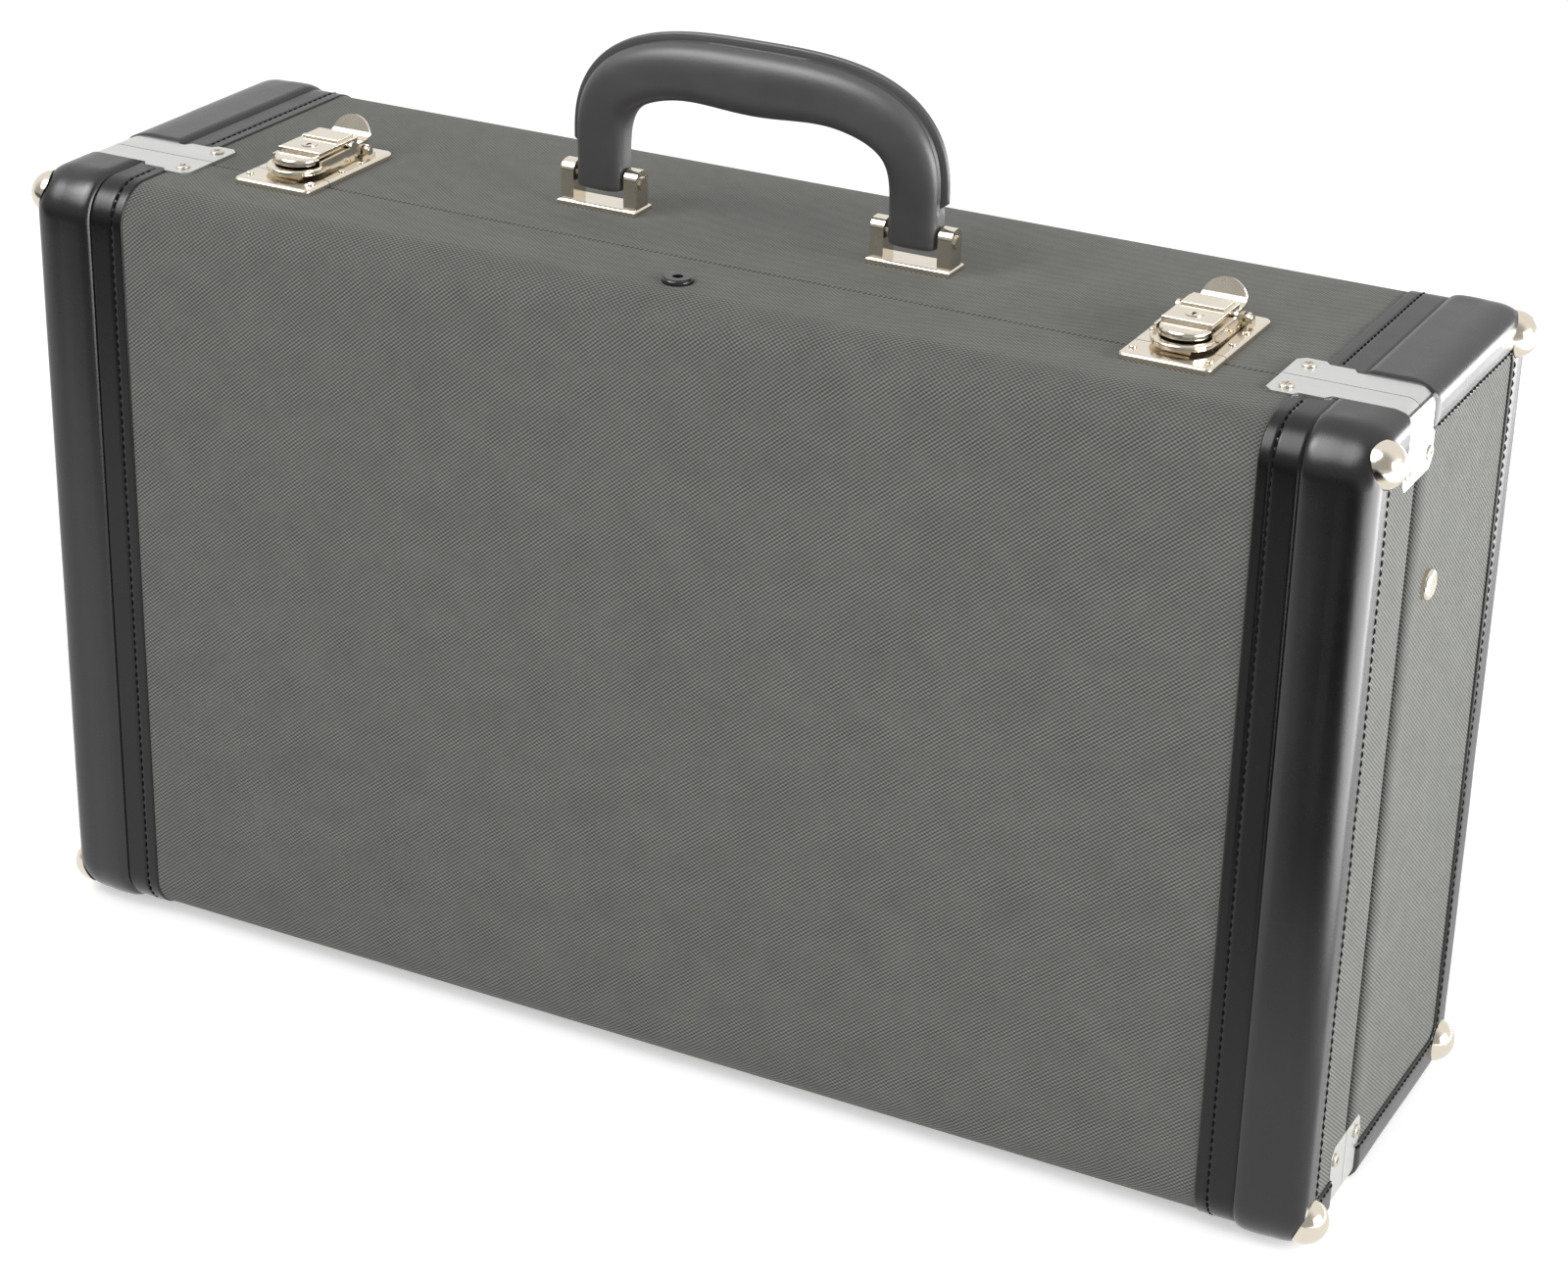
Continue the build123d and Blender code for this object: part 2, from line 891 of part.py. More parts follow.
def latch_catches():
    """The lid's plates, each with the low lug that the hasp's hook comes down in front of."""
    plate = latch_plate(-seam_gap / 2, latch_plate_front)
    lug_front = hook_front + hook_depth + catch_lug_gap
    lug = block(
        (-hook_width / 2, lug_front, latch_plate_thickness),
        (hook_width / 2, lug_front + catch_lug_depth, latch_plate_thickness + catch_lug_height),
    )
    pieces = []
    for end in ENDS:
        pieces.append(cut_all(at_latch(end, plate), latch_holes(LID)))
        pieces.append(at_latch(end, lug))
    return group(pieces)


def latch_pivots():
    """Short pivots through the cheeks into the hasp's sides."""
    inner = hasp_width / 2 - hasp_side_thickness
    outer = hasp_width / 2 + cheek_gap + cheek_thickness
    pivots = []
    for end in ENDS:
        for hand in ENDS:
            low, high = sorted((hand * inner, hand * outer))
            pivot = rod_x(latch_pivot_radius, low, high, latch_pivot_y, latch_pivot_height)
            low, high = sorted((hand * outer, hand * (outer + latch_pivot_head)))
            pivot += rod_x(latch_pivot_radius * 1.5, low, high, latch_pivot_y, latch_pivot_height)
            pivots.append(at_latch(end, pivot))
    return group(pivots)


def hasp_side(hand):
    """One side wall of the hasp, from beside its plate up to its two pivots."""
    half = hasp_width / 2
    low, high = sorted((hand * (half - hasp_side_thickness), hand * half))
    outline = [
        (hasp_side_front, hasp_floor),
        (latch_pivot_y, latch_pivot_height - latch_ear_radius),
        (latch_pivot_y, latch_pivot_height + latch_ear_radius),
        (lever_pivot_y, lever_pivot_height + lever_ear_radius),
        (lever_pivot_y - lever_ear_radius, lever_pivot_height),
        (hasp_side_front, hasp_floor + hasp_side_height),
    ]
    side = prism(outline, Plane.YZ, low, high)
    side += rod_x(latch_ear_radius, low, high, latch_pivot_y, latch_pivot_height)
    side += rod_x(lever_ear_radius, low, high, lever_pivot_y, lever_pivot_height)
    pivot_bore = latch_pivot_radius + latch_pivot_clearance
    side -= rod_x(pivot_bore, low - 1, high + 1, latch_pivot_y, latch_pivot_height)
    return side - rod_x(lever_pivot_radius, low - 1, high + 1, lever_pivot_y, lever_pivot_height)


def hasp():
    """The lower plate that reaches over the seam, its hook and its two side walls."""
    half = hasp_width / 2
    top = hasp_floor + hasp_thickness
    plate = rod_z(half, 0, hasp_nose_centre, hasp_floor, top)
    plate += block((-half, hasp_nose_centre, hasp_floor), (half, hasp_rear, top))
    plate = fillet(plate.faces().sort_by(Axis.Z)[-1].edges(), hasp_edge)
    sides = [hasp_side(hand) for hand in ENDS]
    hook_low = latch_plate_thickness + catch_lug_height + hook_clearance
    hook = block(
        (-hook_width / 2, hook_front, hook_low),
        (hook_width / 2, hook_front + hook_depth, hasp_floor),
    )
    return group([cut_all(plate, sides), hook] + sides)


def lever_floor():
    return hasp_floor + hasp_thickness + lever_gap


def lever():
    """The upper piece: a half-round cap, the lock's housing, a ridge and the thumb tab."""
    half = lever_width / 2
    floor = lever_floor()
    housing_top = floor + lever_housing_height
    cap = rod_z(half, 0, lever_cap_centre, floor, floor + lever_cap_height)
    cap = fillet(cap.faces().sort_by(Axis.Z)[-1].edges(), lever_cap_edge)
    housing = block((-half, lever_cap_centre, floor), (half, lever_housing_rear, housing_top))
    housing = fillet(housing.faces().sort_by(Axis.Z)[-1].edges(), lever_housing_edge)
    ridge_front = lever_housing_rear - lever_ridge_length
    ridge_rear = lever_housing_rear - lever_housing_edge
    ridge = block(
        (-lever_ridge_width / 2, ridge_front, housing_top - 1),
        (lever_ridge_width / 2, ridge_rear, housing_top + lever_ridge_height),
    )
    ridge = fillet(ridge.faces().sort_by(Axis.Z)[-1].edges(), lever_ridge_height * 0.4)
    whole = cap + housing + ridge + thumb_tab(floor)
    bore = lever_pivot_radius + lever_pivot_clearance
    whole -= rod_x(bore, -half - 1, half + 1, lever_pivot_y, lever_pivot_height)
    well = rod_z(
        cylinder_radius + cylinder_clearance, 0, cylinder_y, floor + cylinder_floor, housing_top + 1
    )
    return whole - well


def thumb_tab(floor):
    """A flat run behind the housing that bends up into a tab with a round end."""
    half = thumb_width / 2
    outer = thumb_bend_radius + thumb_thickness
    low = floor - thumb_drop
    centre_z = low + outer
    angle = math.radians(thumb_bend_angle)
    along = (math.cos(angle), math.sin(angle))
    across = (math.sin(angle), -math.cos(angle))
    bend_out = (thumb_run_end + outer * across[0], centre_z + outer * across[1])
    tip_out = tuple(start + thumb_length * way for start, way in zip(bend_out, along))
    tip_in = tuple(place - thumb_thickness * way for place, way in zip(tip_out, across))
    bend_in = tuple(place - thumb_thickness * way for place, way in zip(bend_out, across))
    upright = prism([bend_out, tip_out, tip_in, bend_in], Plane.YZ, -half, half)
    run = block((-half, thumb_root, low), (half, thumb_run_end, low + thumb_thickness))
    sector = [
        (thumb_run_end, centre_z),
        (thumb_run_end, centre_z - 2 * outer),
        (thumb_run_end + 2 * outer * across[0], centre_z - 2 * outer),
        (thumb_run_end + 2 * outer * across[0], centre_z + 2 * outer * across[1]),
    ]
    bend = rod_x(outer, -half, half, thumb_run_end, centre_z)
    bend -= rod_x(thumb_bend_radius, -half, half, thumb_run_end, centre_z)
    bend = bend & prism(sector, Plane.YZ, -half, half)
    tip = Plane(
        origin=(0, *tip_out),
        x_dir=(1, 0, 0),
        z_dir=(0, *across),
    )
    round_end = tip * Pos(0, half, 0) * Cylinder(half, case_length)
    straight_part = tip * Pos(0, half + case_length / 2, 0) * Box(2 * half, case_length, case_length)
    return run + ((bend + upright) & (round_end + straight_part))


def lever_pin(end):
    half = hasp_width / 2
    return at_latch(end, rod_x(lever_pivot_radius, -half, half, lever_pivot_y, lever_pivot_height))


def lock_cylinder(end):
    low = lever_floor() + cylinder_floor + cylinder_clearance
    high = lever_floor() + lever_housing_height + cylinder_proud
    barrel = rod_z(cylinder_radius, 0, cylinder_y, low, high)
    keyhole = rod_z(keyhole_radius, 0, cylinder_y, high - keyhole_depth, high + 1)
    keyhole += block(
        (-keyhole_slot_width / 2, cylinder_y - keyhole_slot_length, high - keyhole_depth),
        (keyhole_slot_width / 2, cylinder_y, high + 1),
    )
    return at_latch(end, barrel - keyhole)


def latch_rivets(side):
    return rivets(
        latch_rivet_places(side),
        latch_rivet_head_radius,
        latch_rivet_head_height,
        latch_rivet_radius,
        latch_rivet_length,
    )


# Inside of the case

def lining(side):
    if side == BODY:
        cloth = layer(lining_inset, rail_inset)
        return cut_all(cloth & half_space(BODY), end_rivet_hole())
    return layer(lining_inset, lining_inset + lid_lining_thickness) & half_space(LID)


def closing_rail():
    """The rail inside the body's rim that guides the lid as it closes."""
    ring = layer(rail_inset, rail_inset + rail_thickness)
    stretch = block(
        (-far, seam_y - rail_reach, -far), (far, insert_front - insert_clearance, far)
    )
    return ring & stretch


def inner_block(low_x, high_x):
    """The body's inner space behind the closing rail, between two places along X."""
    return case_form(insert_inset) & block((low_x, insert_front, -far), (high_x, far, far))


def recess_stretches(length):
    """One trumpet's recess: (start, end, margins at the start, margins at the end) from its bell."""
    valve_start = valve_from_bell - valve_length / 2
    valve_end = valve_from_bell + valve_length / 2
    return [
        (0, bell_length, bell_margins, throat_margins),
        (bell_length, valve_start, tubing_margins, tubing_margins),
        (valve_start, valve_end, valve_margins, valve_margins),
        (valve_end, length, tubing_margins, tubing_margins),
    ]


def margins_at(distance, middle, length):
    """The recess's margins at a distance from the bell, in the stretch round a middle place."""
    for start, end, first, last in recess_stretches(length):
        if start <= middle <= end:
            share = (distance - start) / (end - start)
            return [a + (b - a) * share for a, b in zip(first, last)]


def insert_section(x, low_z, high_z, floor_y):
    back_y = half_depth - insert_inset
    corners = [(floor_y, low_z), (back_y, low_z), (back_y, high_z), (floor_y, high_z)]
    return Plane.YZ.offset(x) * make_face(Polyline(*corners, close=True))


def insert_levels(x, middle_x, low_x, high_x):
    """The insert's blocks at a place along X, from the bottom up: (low z, high z, floor y)."""
    length = high_x - low_x
    back_y = half_depth - insert_inset
    upper = margins_at(x - low_x, middle_x - low_x, length)
    lower = margins_at(high_x - x, high_x - middle_x, length)
    outer_low, outer_high = insert_inset, case_height - insert_inset
    middle_z = case_height / 2
    edges = [
        outer_low, outer_low + lower[1], middle_z - lower[0],
        middle_z + upper[0], outer_high - upper[1], outer_high,
    ]
    floors = [insert_front, back_y - lower[2], insert_front, back_y - upper[2], insert_front]
    return list(zip(edges, edges[1:], floors))


def instrument_insert():
    """The blocks that hold the two trumpets head to tail, one bell at each end."""
    low_x = -half_length + insert_inset
    high_x = compartment_x - compartment_gap
    whole = inner_block(low_x, high_x)
    first, last = low_x + recess_end_gap, high_x - recess_end_gap
    marks = {first, last}
    for start, end, *_ in recess_stretches(last - first):
        marks |= {first + start, first + end, last - start, last - end}
    blocks = [whole & block((low_x, -far, -far), (first, far, far))]
    blocks.append(whole & block((last, -far, -far), (high_x, far, far)))
    marks = sorted(marks)
    for near, away in zip(marks, marks[1:]):
        if away - near < smallest_column:
            continue
        middle = (near + away) / 2
        levels = zip(insert_levels(near, middle, first, last), insert_levels(away, middle, first, last))
        for start, end in levels:
            column = loft([insert_section(near, *start), insert_section(away, *end)], ruled=True)
            blocks.append(whole & column)
    return group(blocks)


def compartment_bay(low_z, high_z):
    """One bay inside the accessory compartment, open towards the lid."""
    high_x = half_length - insert_inset - compartment_wall
    floor_y = half_depth - insert_inset - compartment_wall
    return block((compartment_x + compartment_wall, -far, low_z), (high_x, floor_y, high_z))


def lower_bay():
    return compartment_bay(insert_inset + compartment_wall, divider_height)


def upper_bay():
    return compartment_bay(divider_height + compartment_wall, case_height - insert_inset - compartment_wall)


def accessory_compartment():
    frame = inner_block(compartment_x, half_length) - lower_bay() - upper_bay()
    return cut_all(frame, end_rivet_hole())


def mouthpiece_block():
    """A block with a row of sockets, one for each mouthpiece."""
    bay = lower_bay().bounding_box()
    back = bay.max.Y - insert_clearance
    front = back - mouthpiece_block_depth
    gap = insert_clearance
    body = block((bay.min.X + gap, front, bay.min.Z + gap), (bay.max.X - gap, back, bay.max.Z - gap))
    x = (bay.min.X + bay.max.X) / 2
    z = (bay.min.Z + bay.max.Z) / 2
    for index in range(mouthpiece_count):
        step = (index - (mouthpiece_count - 1) / 2) * mouthpiece_spacing
        body -= peg(mouthpiece_radius, (x, front, z + step), (0, 1, 0), mouthpiece_depth)
    return body


def lid_pad():
    """The padded cloth cushion inside the lid."""
    inside = lining_inset + lid_lining_thickness
    half_x = half_length - inside - lid_pad_margin
    low_y = -half_depth + inside + soft_clearance
    low_z = inside + lid_pad_margin
    pad = block((-half_x, low_y, low_z), (half_x, low_y + lid_pad_thickness, case_height - low_z))
    return fillet(pad.faces().sort_by(Axis.Y)[-1].edges(), lid_pad_rounding)


def main():
    nodes = {
        "body_shell": shell(BODY),
        "body_textile": textile(BODY),
        "body_end_panels": end_panels(BODY),
        "body_leather_ends": leather(BODY),
        "body_lining": lining(BODY),
        "closing_rail": closing_rail(),
        "instrument_insert": instrument_insert(),
        "accessory_compartment": accessory_compartment(),
        "mouthpiece_block": mouthpiece_block(),
        "body_brackets": brackets(BODY),
        "body_bracket_screws": bracket_screws(BODY),
        "body_corner_domes": corner_domes(BODY),
        "end_rivet": end_rivet(),
        "body_hinge_leaves": hinge_leaves(BODY),
        "body_hinge_rivets": hinge_rivets(BODY),
        "hinge_pins": hinge_pins(),
        "handle_mounts": handle_mounts(),
        "handle_mount_rivets": mount_rivets(),
        "handle_pins": handle_pins(),
        "latch_bases": latch_bases(),
        "latch_base_rivets": latch_rivets(BODY),
        "latch_pivots": latch_pivots(),
        "lid_shell": shell(LID),
        "lid_textile": textile(LID),
        "lid_end_panels": end_panels(LID),
        "lid_leather_ends": leather(LID),
        "lid_lining": lining(LID),
        "lid_pad": lid_pad(),
        "lid_brackets": brackets(LID),
        "lid_bracket_screws": bracket_screws(LID),
        "lid_corner_domes": corner_domes(LID),
        "lid_hinge_leaves": hinge_leaves(LID),
        "lid_hinge_rivets": hinge_rivets(LID),
        "lid_stud": lid_stud(),
        "latch_catches": latch_catches(),
        "latch_catch_rivets": latch_rivets(LID),
        "handle": handle(),
    }
    for end, name in zip(ENDS, ("left", "right")):
        nodes[name + "_latch_hasp"] = at_latch(end, hasp())
        nodes[name + "_latch_lever"] = at_latch(end, lever())
        nodes[name + "_lever_pin"] = lever_pin(end)
        nodes[name + "_lock_cylinder"] = lock_cylinder(end)
    os.makedirs("parts", exist_ok=True)
    for name, shape in nodes.items():
        export_step(shape, os.path.join("parts", name + ".step"))


main()
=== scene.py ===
import math

import bmesh
import bpy
import numpy as np
from mathutils import Matrix, Vector, noise


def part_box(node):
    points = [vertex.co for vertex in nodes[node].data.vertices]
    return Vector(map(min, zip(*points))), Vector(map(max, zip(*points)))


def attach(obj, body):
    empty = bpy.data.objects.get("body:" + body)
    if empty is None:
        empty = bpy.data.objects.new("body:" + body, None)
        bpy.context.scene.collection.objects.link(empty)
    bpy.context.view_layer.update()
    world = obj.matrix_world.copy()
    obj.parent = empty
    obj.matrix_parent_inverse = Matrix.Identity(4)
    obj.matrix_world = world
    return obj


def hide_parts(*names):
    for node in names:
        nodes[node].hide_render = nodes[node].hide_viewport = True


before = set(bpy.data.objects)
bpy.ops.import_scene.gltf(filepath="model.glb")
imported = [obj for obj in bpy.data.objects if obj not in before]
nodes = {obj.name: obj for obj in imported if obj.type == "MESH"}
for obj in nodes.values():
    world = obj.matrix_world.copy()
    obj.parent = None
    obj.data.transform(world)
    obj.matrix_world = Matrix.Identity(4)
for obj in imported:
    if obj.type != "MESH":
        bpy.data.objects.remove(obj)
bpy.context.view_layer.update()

# Sizes are in metres, in the case's own frame: X along the case, Y to its back, Z up.
MM = 0.001

# The case's form
LENGTH = 0.600
DEPTH = 0.185
HEIGHT = 0.350
LONG_EDGE = 0.020
END_EDGE = 0.008
END_POWER = 2.5
END_REACH = 0.014
SEAM_Y = -0.0395
SEAM_GAP = 0.0004
HALF_LENGTH = LENGTH / 2
HALF_DEPTH = DEPTH / 2
MIDDLE_Z = HEIGHT / 2

# How far each surface lies inside the form
CLOTH = 0.0024
BOARD = 0.0032
STRIP = 0.0016
PANEL = 0.0016

# The leather ends, measured along X from the case's middle
STRIP_START = 0.254
STITCH_LINE = 0.2595
CREASE = 0.2705
SHOULDER = 0.0050
BORDER = 0.018
BORDER_STITCH = 0.0168
WINDOW_RADIUS = 0.006

# The seam brackets' outline, as in the solids
BRACKET_REACH = 0.057
BRACKET_LOBE = 0.0195
BRACKET_NECK = 0.017
BRACKET_WAIST = 0.014
BRACKET_DROP = 0.033

HINGE_PLACES = (-0.190, 0.0, 0.190)
HINGE_HALF = 0.0305
HINGE_ROOM = 0.0028

ENDS = (-1, 1)
BODY = 1
LID = -1
BODY_NAME = {BODY: "root", LID: "lid"}
SIDE_NAME = {BODY: "body", LID: "lid"}
HAND = {-1: "left", 1: "right"}


# Shader nodes

SMOOTH = "SMOOTHSTEP"
WHITE = (1, 1, 1)


class Nodes:
    """A node tree under construction, with short calls for the nodes that it needs."""

    def __init__(self, tree):
        self.tree = tree

    def node(self, kind, **values):
        made = self.tree.nodes.new(kind)
        for key, value in values.items():
            setattr(made, key, value)
        return made

    def link(self, source, target):
        self.tree.links.new(source, target)

    def feed(self, target, value):
        """Sets a socket to a number or a color, or links it."""
        if isinstance(value, tuple):
            target.default_value = (*value, 1.0)
        elif isinstance(value, (int, float)):
            target.default_value = value
        else:
            self.link(value, target)

    def math(self, operation, *values):
        made = self.node("ShaderNodeMath", operation=operation)
        for target, value in zip(made.inputs, values):
            self.feed(target, value)
        return made.outputs[0]

    def place(self, kind="Object"):
        """The point in the case's frame, or another of its coordinates."""
        return self.node("ShaderNodeTexCoord").outputs[kind]

    def split(self, vector):
        made = self.node("ShaderNodeSeparateXYZ")
        self.link(vector, made.inputs[0])
        return made.outputs

    def stretched(self, *scales):
        mapping = self.node("ShaderNodeMapping")
        mapping.inputs["Scale"].default_value = scales
        self.link(self.place(), mapping.inputs["Vector"])
        return mapping.outputs["Vector"]

    def noise(self, scale, detail=3.0, roughness=0.5, vector=None):
        made = self.node("ShaderNodeTexNoise")
        made.inputs["Scale"].default_value = scale
        made.inputs["Detail"].default_value = detail
        made.inputs["Roughness"].default_value = roughness
        self.link(vector or self.place(), made.inputs["Vector"])
        return made.outputs["Fac"]

    def grain(self, scales, detail=3.0, roughness=0.5):
        """Noise with its own scale along each axis."""
        return self.noise(1.0, detail, roughness, self.stretched(*scales))

    def cells(self, scale, feature):
        made = self.node("ShaderNodeTexVoronoi", feature=feature)
        made.inputs["Scale"].default_value = scale
        self.link(self.place(), made.inputs["Vector"])
        return made.outputs["Distance"]

    def ramp(self, factor, *stops):
        made = self.node("ShaderNodeValToRGB")
        elements = made.color_ramp.elements
        while len(elements) < len(stops):
            elements.new(0.5)
        for element, (position, color) in zip(elements, stops):
            element.position = position
            element.color = (*color, 1.0)
        self.link(factor, made.inputs["Fac"])
        return made.outputs["Color"]

    def span(self, value, low, high, start=0.0, stop=1.0, kind="LINEAR"):
        """Maps start to stop onto low to high, and holds it beyond both."""
        made = self.node("ShaderNodeMapRange", interpolation_type=kind)
        for name, number in (("From Min", start), ("From Max", stop), ("To Min", low), ("To Max", high)):
            made.inputs[name].default_value = number
        self.link(value, made.inputs["Value"])
        return made.outputs["Result"]

    def mix(self, factor, first, second, kind="RGBA"):
        """Between two colors, or two numbers where the kind is VALUE."""
        made = self.node("ShaderNodeMix", data_type="RGBA" if kind == "RGBA" else "FLOAT")
        self.feed(made.inputs["Factor"], factor)
        for name, value in (("A", first), ("B", second)):
            self.feed([s for s in made.inputs if s.name == name and s.type == kind][0], value)
        return [s for s in made.outputs if s.type == kind][0]


class Shader(Nodes):
    """A material under construction."""

    def __init__(self, name):
        self.material = bpy.data.materials.new(name)
        self.material.use_nodes = True
        super().__init__(self.material.node_tree)
        self.surface = self.tree.nodes["Principled BSDF"]

    def set(self, **values):
        for key, value in values.items():
            self.feed(self.surface.inputs[key.replace("_", " ")], value)

    def bump(self, height, distance, strength=1.0):
        """Gives the surface its relief, which completes the material."""
        made = self.node("ShaderNodeBump")
        made.inputs["Strength"].default_value = strength
        made.inputs["Distance"].default_value = distance
        self.link(height, made.inputs["Height"])
        self.link(made.outputs["Normal"], self.surface.inputs["Normal"])
        return self.material


# The weave repeats every 2.2 mm along the cloth and 1.8 mm across it, with a float halfway
WEAVE_ALONG = 2.24 * MM
WEAVE_ACROSS = 1.82 * MM
WEAVE_SWAY = 0.22
WEAVE_RELIEF = 0.15 * MM
RIB_SHARE = 0.37
CROSS_SHARE = 0.20
FIBRE_SHARE = 0.35
MOTTLE_SHARE = 0.30
TONE_SCALE = 0.6
TWILL_SHEEN = 0.16
TWILL_GLOSS = 0.30

# The end panels' cloth turns in at the seam, more than its thin solid can show: a bump gives the turn, and
# painted shade darkens the cloth there
TURN_WIDTH = 17.0 * MM
TURN_DEPTH = 5.0 * MM
TURN_PAINTED_SHADE = 0.95
TURN_RIBS = 0.6


def twill_material(name, turned_in=False):
    """Grey polyester twill: diagonal rows of short floats, with a faint mottle. Turned in, it also has
    painted shade near the seam.
    """
    shader = Shader(name)
    cloth = shader.split(shader.node("ShaderNodeUVMap", uv_map="cloth").outputs["UV"])
    along = shader.math("MULTIPLY", cloth["X"], 1 / WEAVE_ALONG)
    across = shader.math("MULTIPLY", cloth["Y"], 1 / WEAVE_ACROSS)
    across = shader.math("MULTIPLY_ADD", shader.noise(140.0, 2.0), WEAVE_SWAY, across)
    height = 0.5
    for operation, part in (("SUBTRACT", RIB_SHARE), ("ADD", CROSS_SHARE)):
        phase = shader.math("MULTIPLY", shader.math(operation, along, across), 2 * math.pi)
        height = shader.math("MULTIPLY_ADD", shader.math("COSINE", phase), part, height)
    tone = shader.math("MULTIPLY_ADD", shader.noise(1500.0), FIBRE_SHARE, height)
    tone = shader.math("MULTIPLY_ADD", shader.noise(60.0, 4.0, 0.65), MOTTLE_SHARE, tone)
    color = shader.ramp(
        shader.math("MULTIPLY", tone, TONE_SCALE),
        (0.14, (0.034, 0.035, 0.032)),
        (0.50, (0.123, 0.125, 0.116)),
        (0.86, (0.255, 0.259, 0.241)),
    )
    relief = shader.math("MULTIPLY", height, WEAVE_RELIEF)
    sheen = TWILL_SHEEN
    gloss = TWILL_GLOSS
    if turned_in:
        away = shader.math("SUBTRACT", shader.split(shader.place())["Y"], SEAM_Y)
        share = shader.span(away, 1.0, 0.0, 0.0, TURN_WIDTH)
        share = shader.math("MULTIPLY", share, share)
        share = shader.math("MULTIPLY", share, shader.math("GREATER_THAN", away, 0.0))
        relief = shader.math("MULTIPLY_ADD", share, -TURN_DEPTH, relief)
        # Painted shade: near the seam the colour is mixed towards near-black, more in the weave's hollows,
        # and the sheen and gloss are dimmed with it
        ribs = shader.math("MULTIPLY_ADD", height, -TURN_RIBS, 1 + TURN_RIBS / 2)
        painted_shade = shader.math("MULTIPLY", shader.math("MULTIPLY", share, TURN_PAINTED_SHADE), ribs)
        color = shader.mix(painted_shade, color, (0.012, 0.012, 0.011))
        lit = shader.math("SUBTRACT", 1.0, painted_shade)
        sheen = shader.math("MULTIPLY", lit, sheen)
        gloss = shader.math("MULTIPLY", lit, gloss)
    shader.set(Base_Color=color, Roughness=0.82, Specular_IOR_Level=gloss)
    shader.set(Sheen_Weight=sheen, Sheen_Roughness=0.45, Sheen_Tint=(0.80, 0.82, 0.76))
    return shader.bump(relief, 1.0)


STRIP_GLOSS = 0.42
PAD_GLOSS = 0.66


def leather_material():
    """Black vinyl leather with a satin gloss and a fine grain."""
    shader = Shader("black_leather")
    fine = shader.math("MINIMUM", shader.math("MULTIPLY", shader.cells(1500.0, "DISTANCE_TO_EDGE"), 3.0), 1.0)
    fine = shader.math("MULTIPLY", fine, 0.35)
    height = shader.math("MULTIPLY_ADD", shader.noise(320.0, 4.0, 0.6), 0.9, fine)
    wide = shader.noise(22.0, 4.0, 0.6)
    color = shader.ramp(wide, (0.25, (0.0045, 0.0043, 0.0045)), (0.8, (0.008, 0.0077, 0.0079)))
    rough = shader.span(shader.noise(60.0, 5.0, 0.65), 0.20, 0.34)
    from_middle = shader.math("ABSOLUTE", shader.split(shader.place())["X"])
    padded = shader.math("GREATER_THAN", from_middle, CREASE)
    gloss = shader.span(padded, STRIP_GLOSS, PAD_GLOSS)
    color = shader.mix(padded, (0.004, 0.0038, 0.004), color)
    shader.set(Base_Color=color, Roughness=rough, Specular_IOR_Level=gloss)
    return shader.bump(height, 0.05 * MM, 0.55)


def thread_material():
    """Black stitching thread with a twist."""
    shader = Shader("black_thread")
    twist = shader.grain((900.0, 900.0, 2600.0))
    color = shader.ramp(twist, (0.3, (0.002, 0.002, 0.002)), (0.75, (0.007, 0.007, 0.008)))
    shader.set(Base_Color=color, Roughness=0.8, Specular_IOR_Level=0.12)
    return shader.bump(twist, 0.08 * MM, 0.8)


def nickel_material():
    """Polished nickel plate, warm, with faint polishing marks."""
    shader = Shader("polished_nickel")
    marks = shader.grain((260.0, 1600.0, 1600.0), 4.0, 0.6)
    cloud = shader.noise(90.0, 4.0, 0.6)
    color = shader.mix(cloud, (0.74, 0.665, 0.55), (0.83, 0.765, 0.66))
    shader.set(Base_Color=color, Metallic=1.0, Roughness=shader.span(cloud, 0.10, 0.20))
    return shader.bump(marks, 0.02 * MM, 0.35)


def bracket_material():
    """Pale brushed metal, brushed along the seam."""
    shader = Shader("brushed_metal")
    brush = shader.grain((45.0, 3200.0, 60.0), 5.0, 0.6)
    color = shader.mix(brush, (0.60, 0.60, 0.585), (0.78, 0.78, 0.76))
    rough = shader.math("MULTIPLY_ADD", shader.noise(70.0, 3.0, 0.6), 0.12, 0.30)
    shader.set(Base_Color=color, Metallic=1.0, Roughness=rough, Anisotropic=0.4)
    return shader.bump(brush, 0.03 * MM, 0.4)


def screw_material():
    """Plated screws, slightly darker than the metal round them."""
    shader = Shader("screw_plate")
    cloud = shader.noise(300.0, 4.0, 0.6)
    color = shader.mix(cloud, (0.60, 0.55, 0.47), (0.76, 0.71, 0.62))
    shader.set(Base_Color=color, Metallic=1.0, Roughness=shader.span(cloud, 0.22, 0.36))
    return shader.bump(cloud, 0.03 * MM, 0.3)


def handle_material():
    """Black moulded handle cover with a pebble grain."""
    shader = Shader("handle_grain")
    height = shader.math("MULTIPLY_ADD", shader.noise(2400.0), 0.4, shader.cells(1050.0, "SMOOTH_F1"))
    wide = shader.noise(35.0, 4.0, 0.6)
    color = shader.ramp(wide, (0.25, (0.042, 0.0412, 0.043)), (0.8, (0.068, 0.067, 0.069)))
    shader.set(Base_Color=color, Roughness=shader.span(wide, 0.38, 0.48), Specular_IOR_Level=0.8)
    return shader.bump(height, 0.07 * MM, 0.5)


def rubber_material():
    """Glossy black stud."""
    shader = Shader("stud_black")
    cloud = shader.noise(400.0)
    color = shader.mix(cloud, (0.008, 0.008, 0.009), (0.018, 0.018, 0.019))
    shader.set(Base_Color=color, Roughness=shader.span(cloud, 0.12, 0.24))
    return shader.bump(cloud, 0.03 * MM, 0.3)


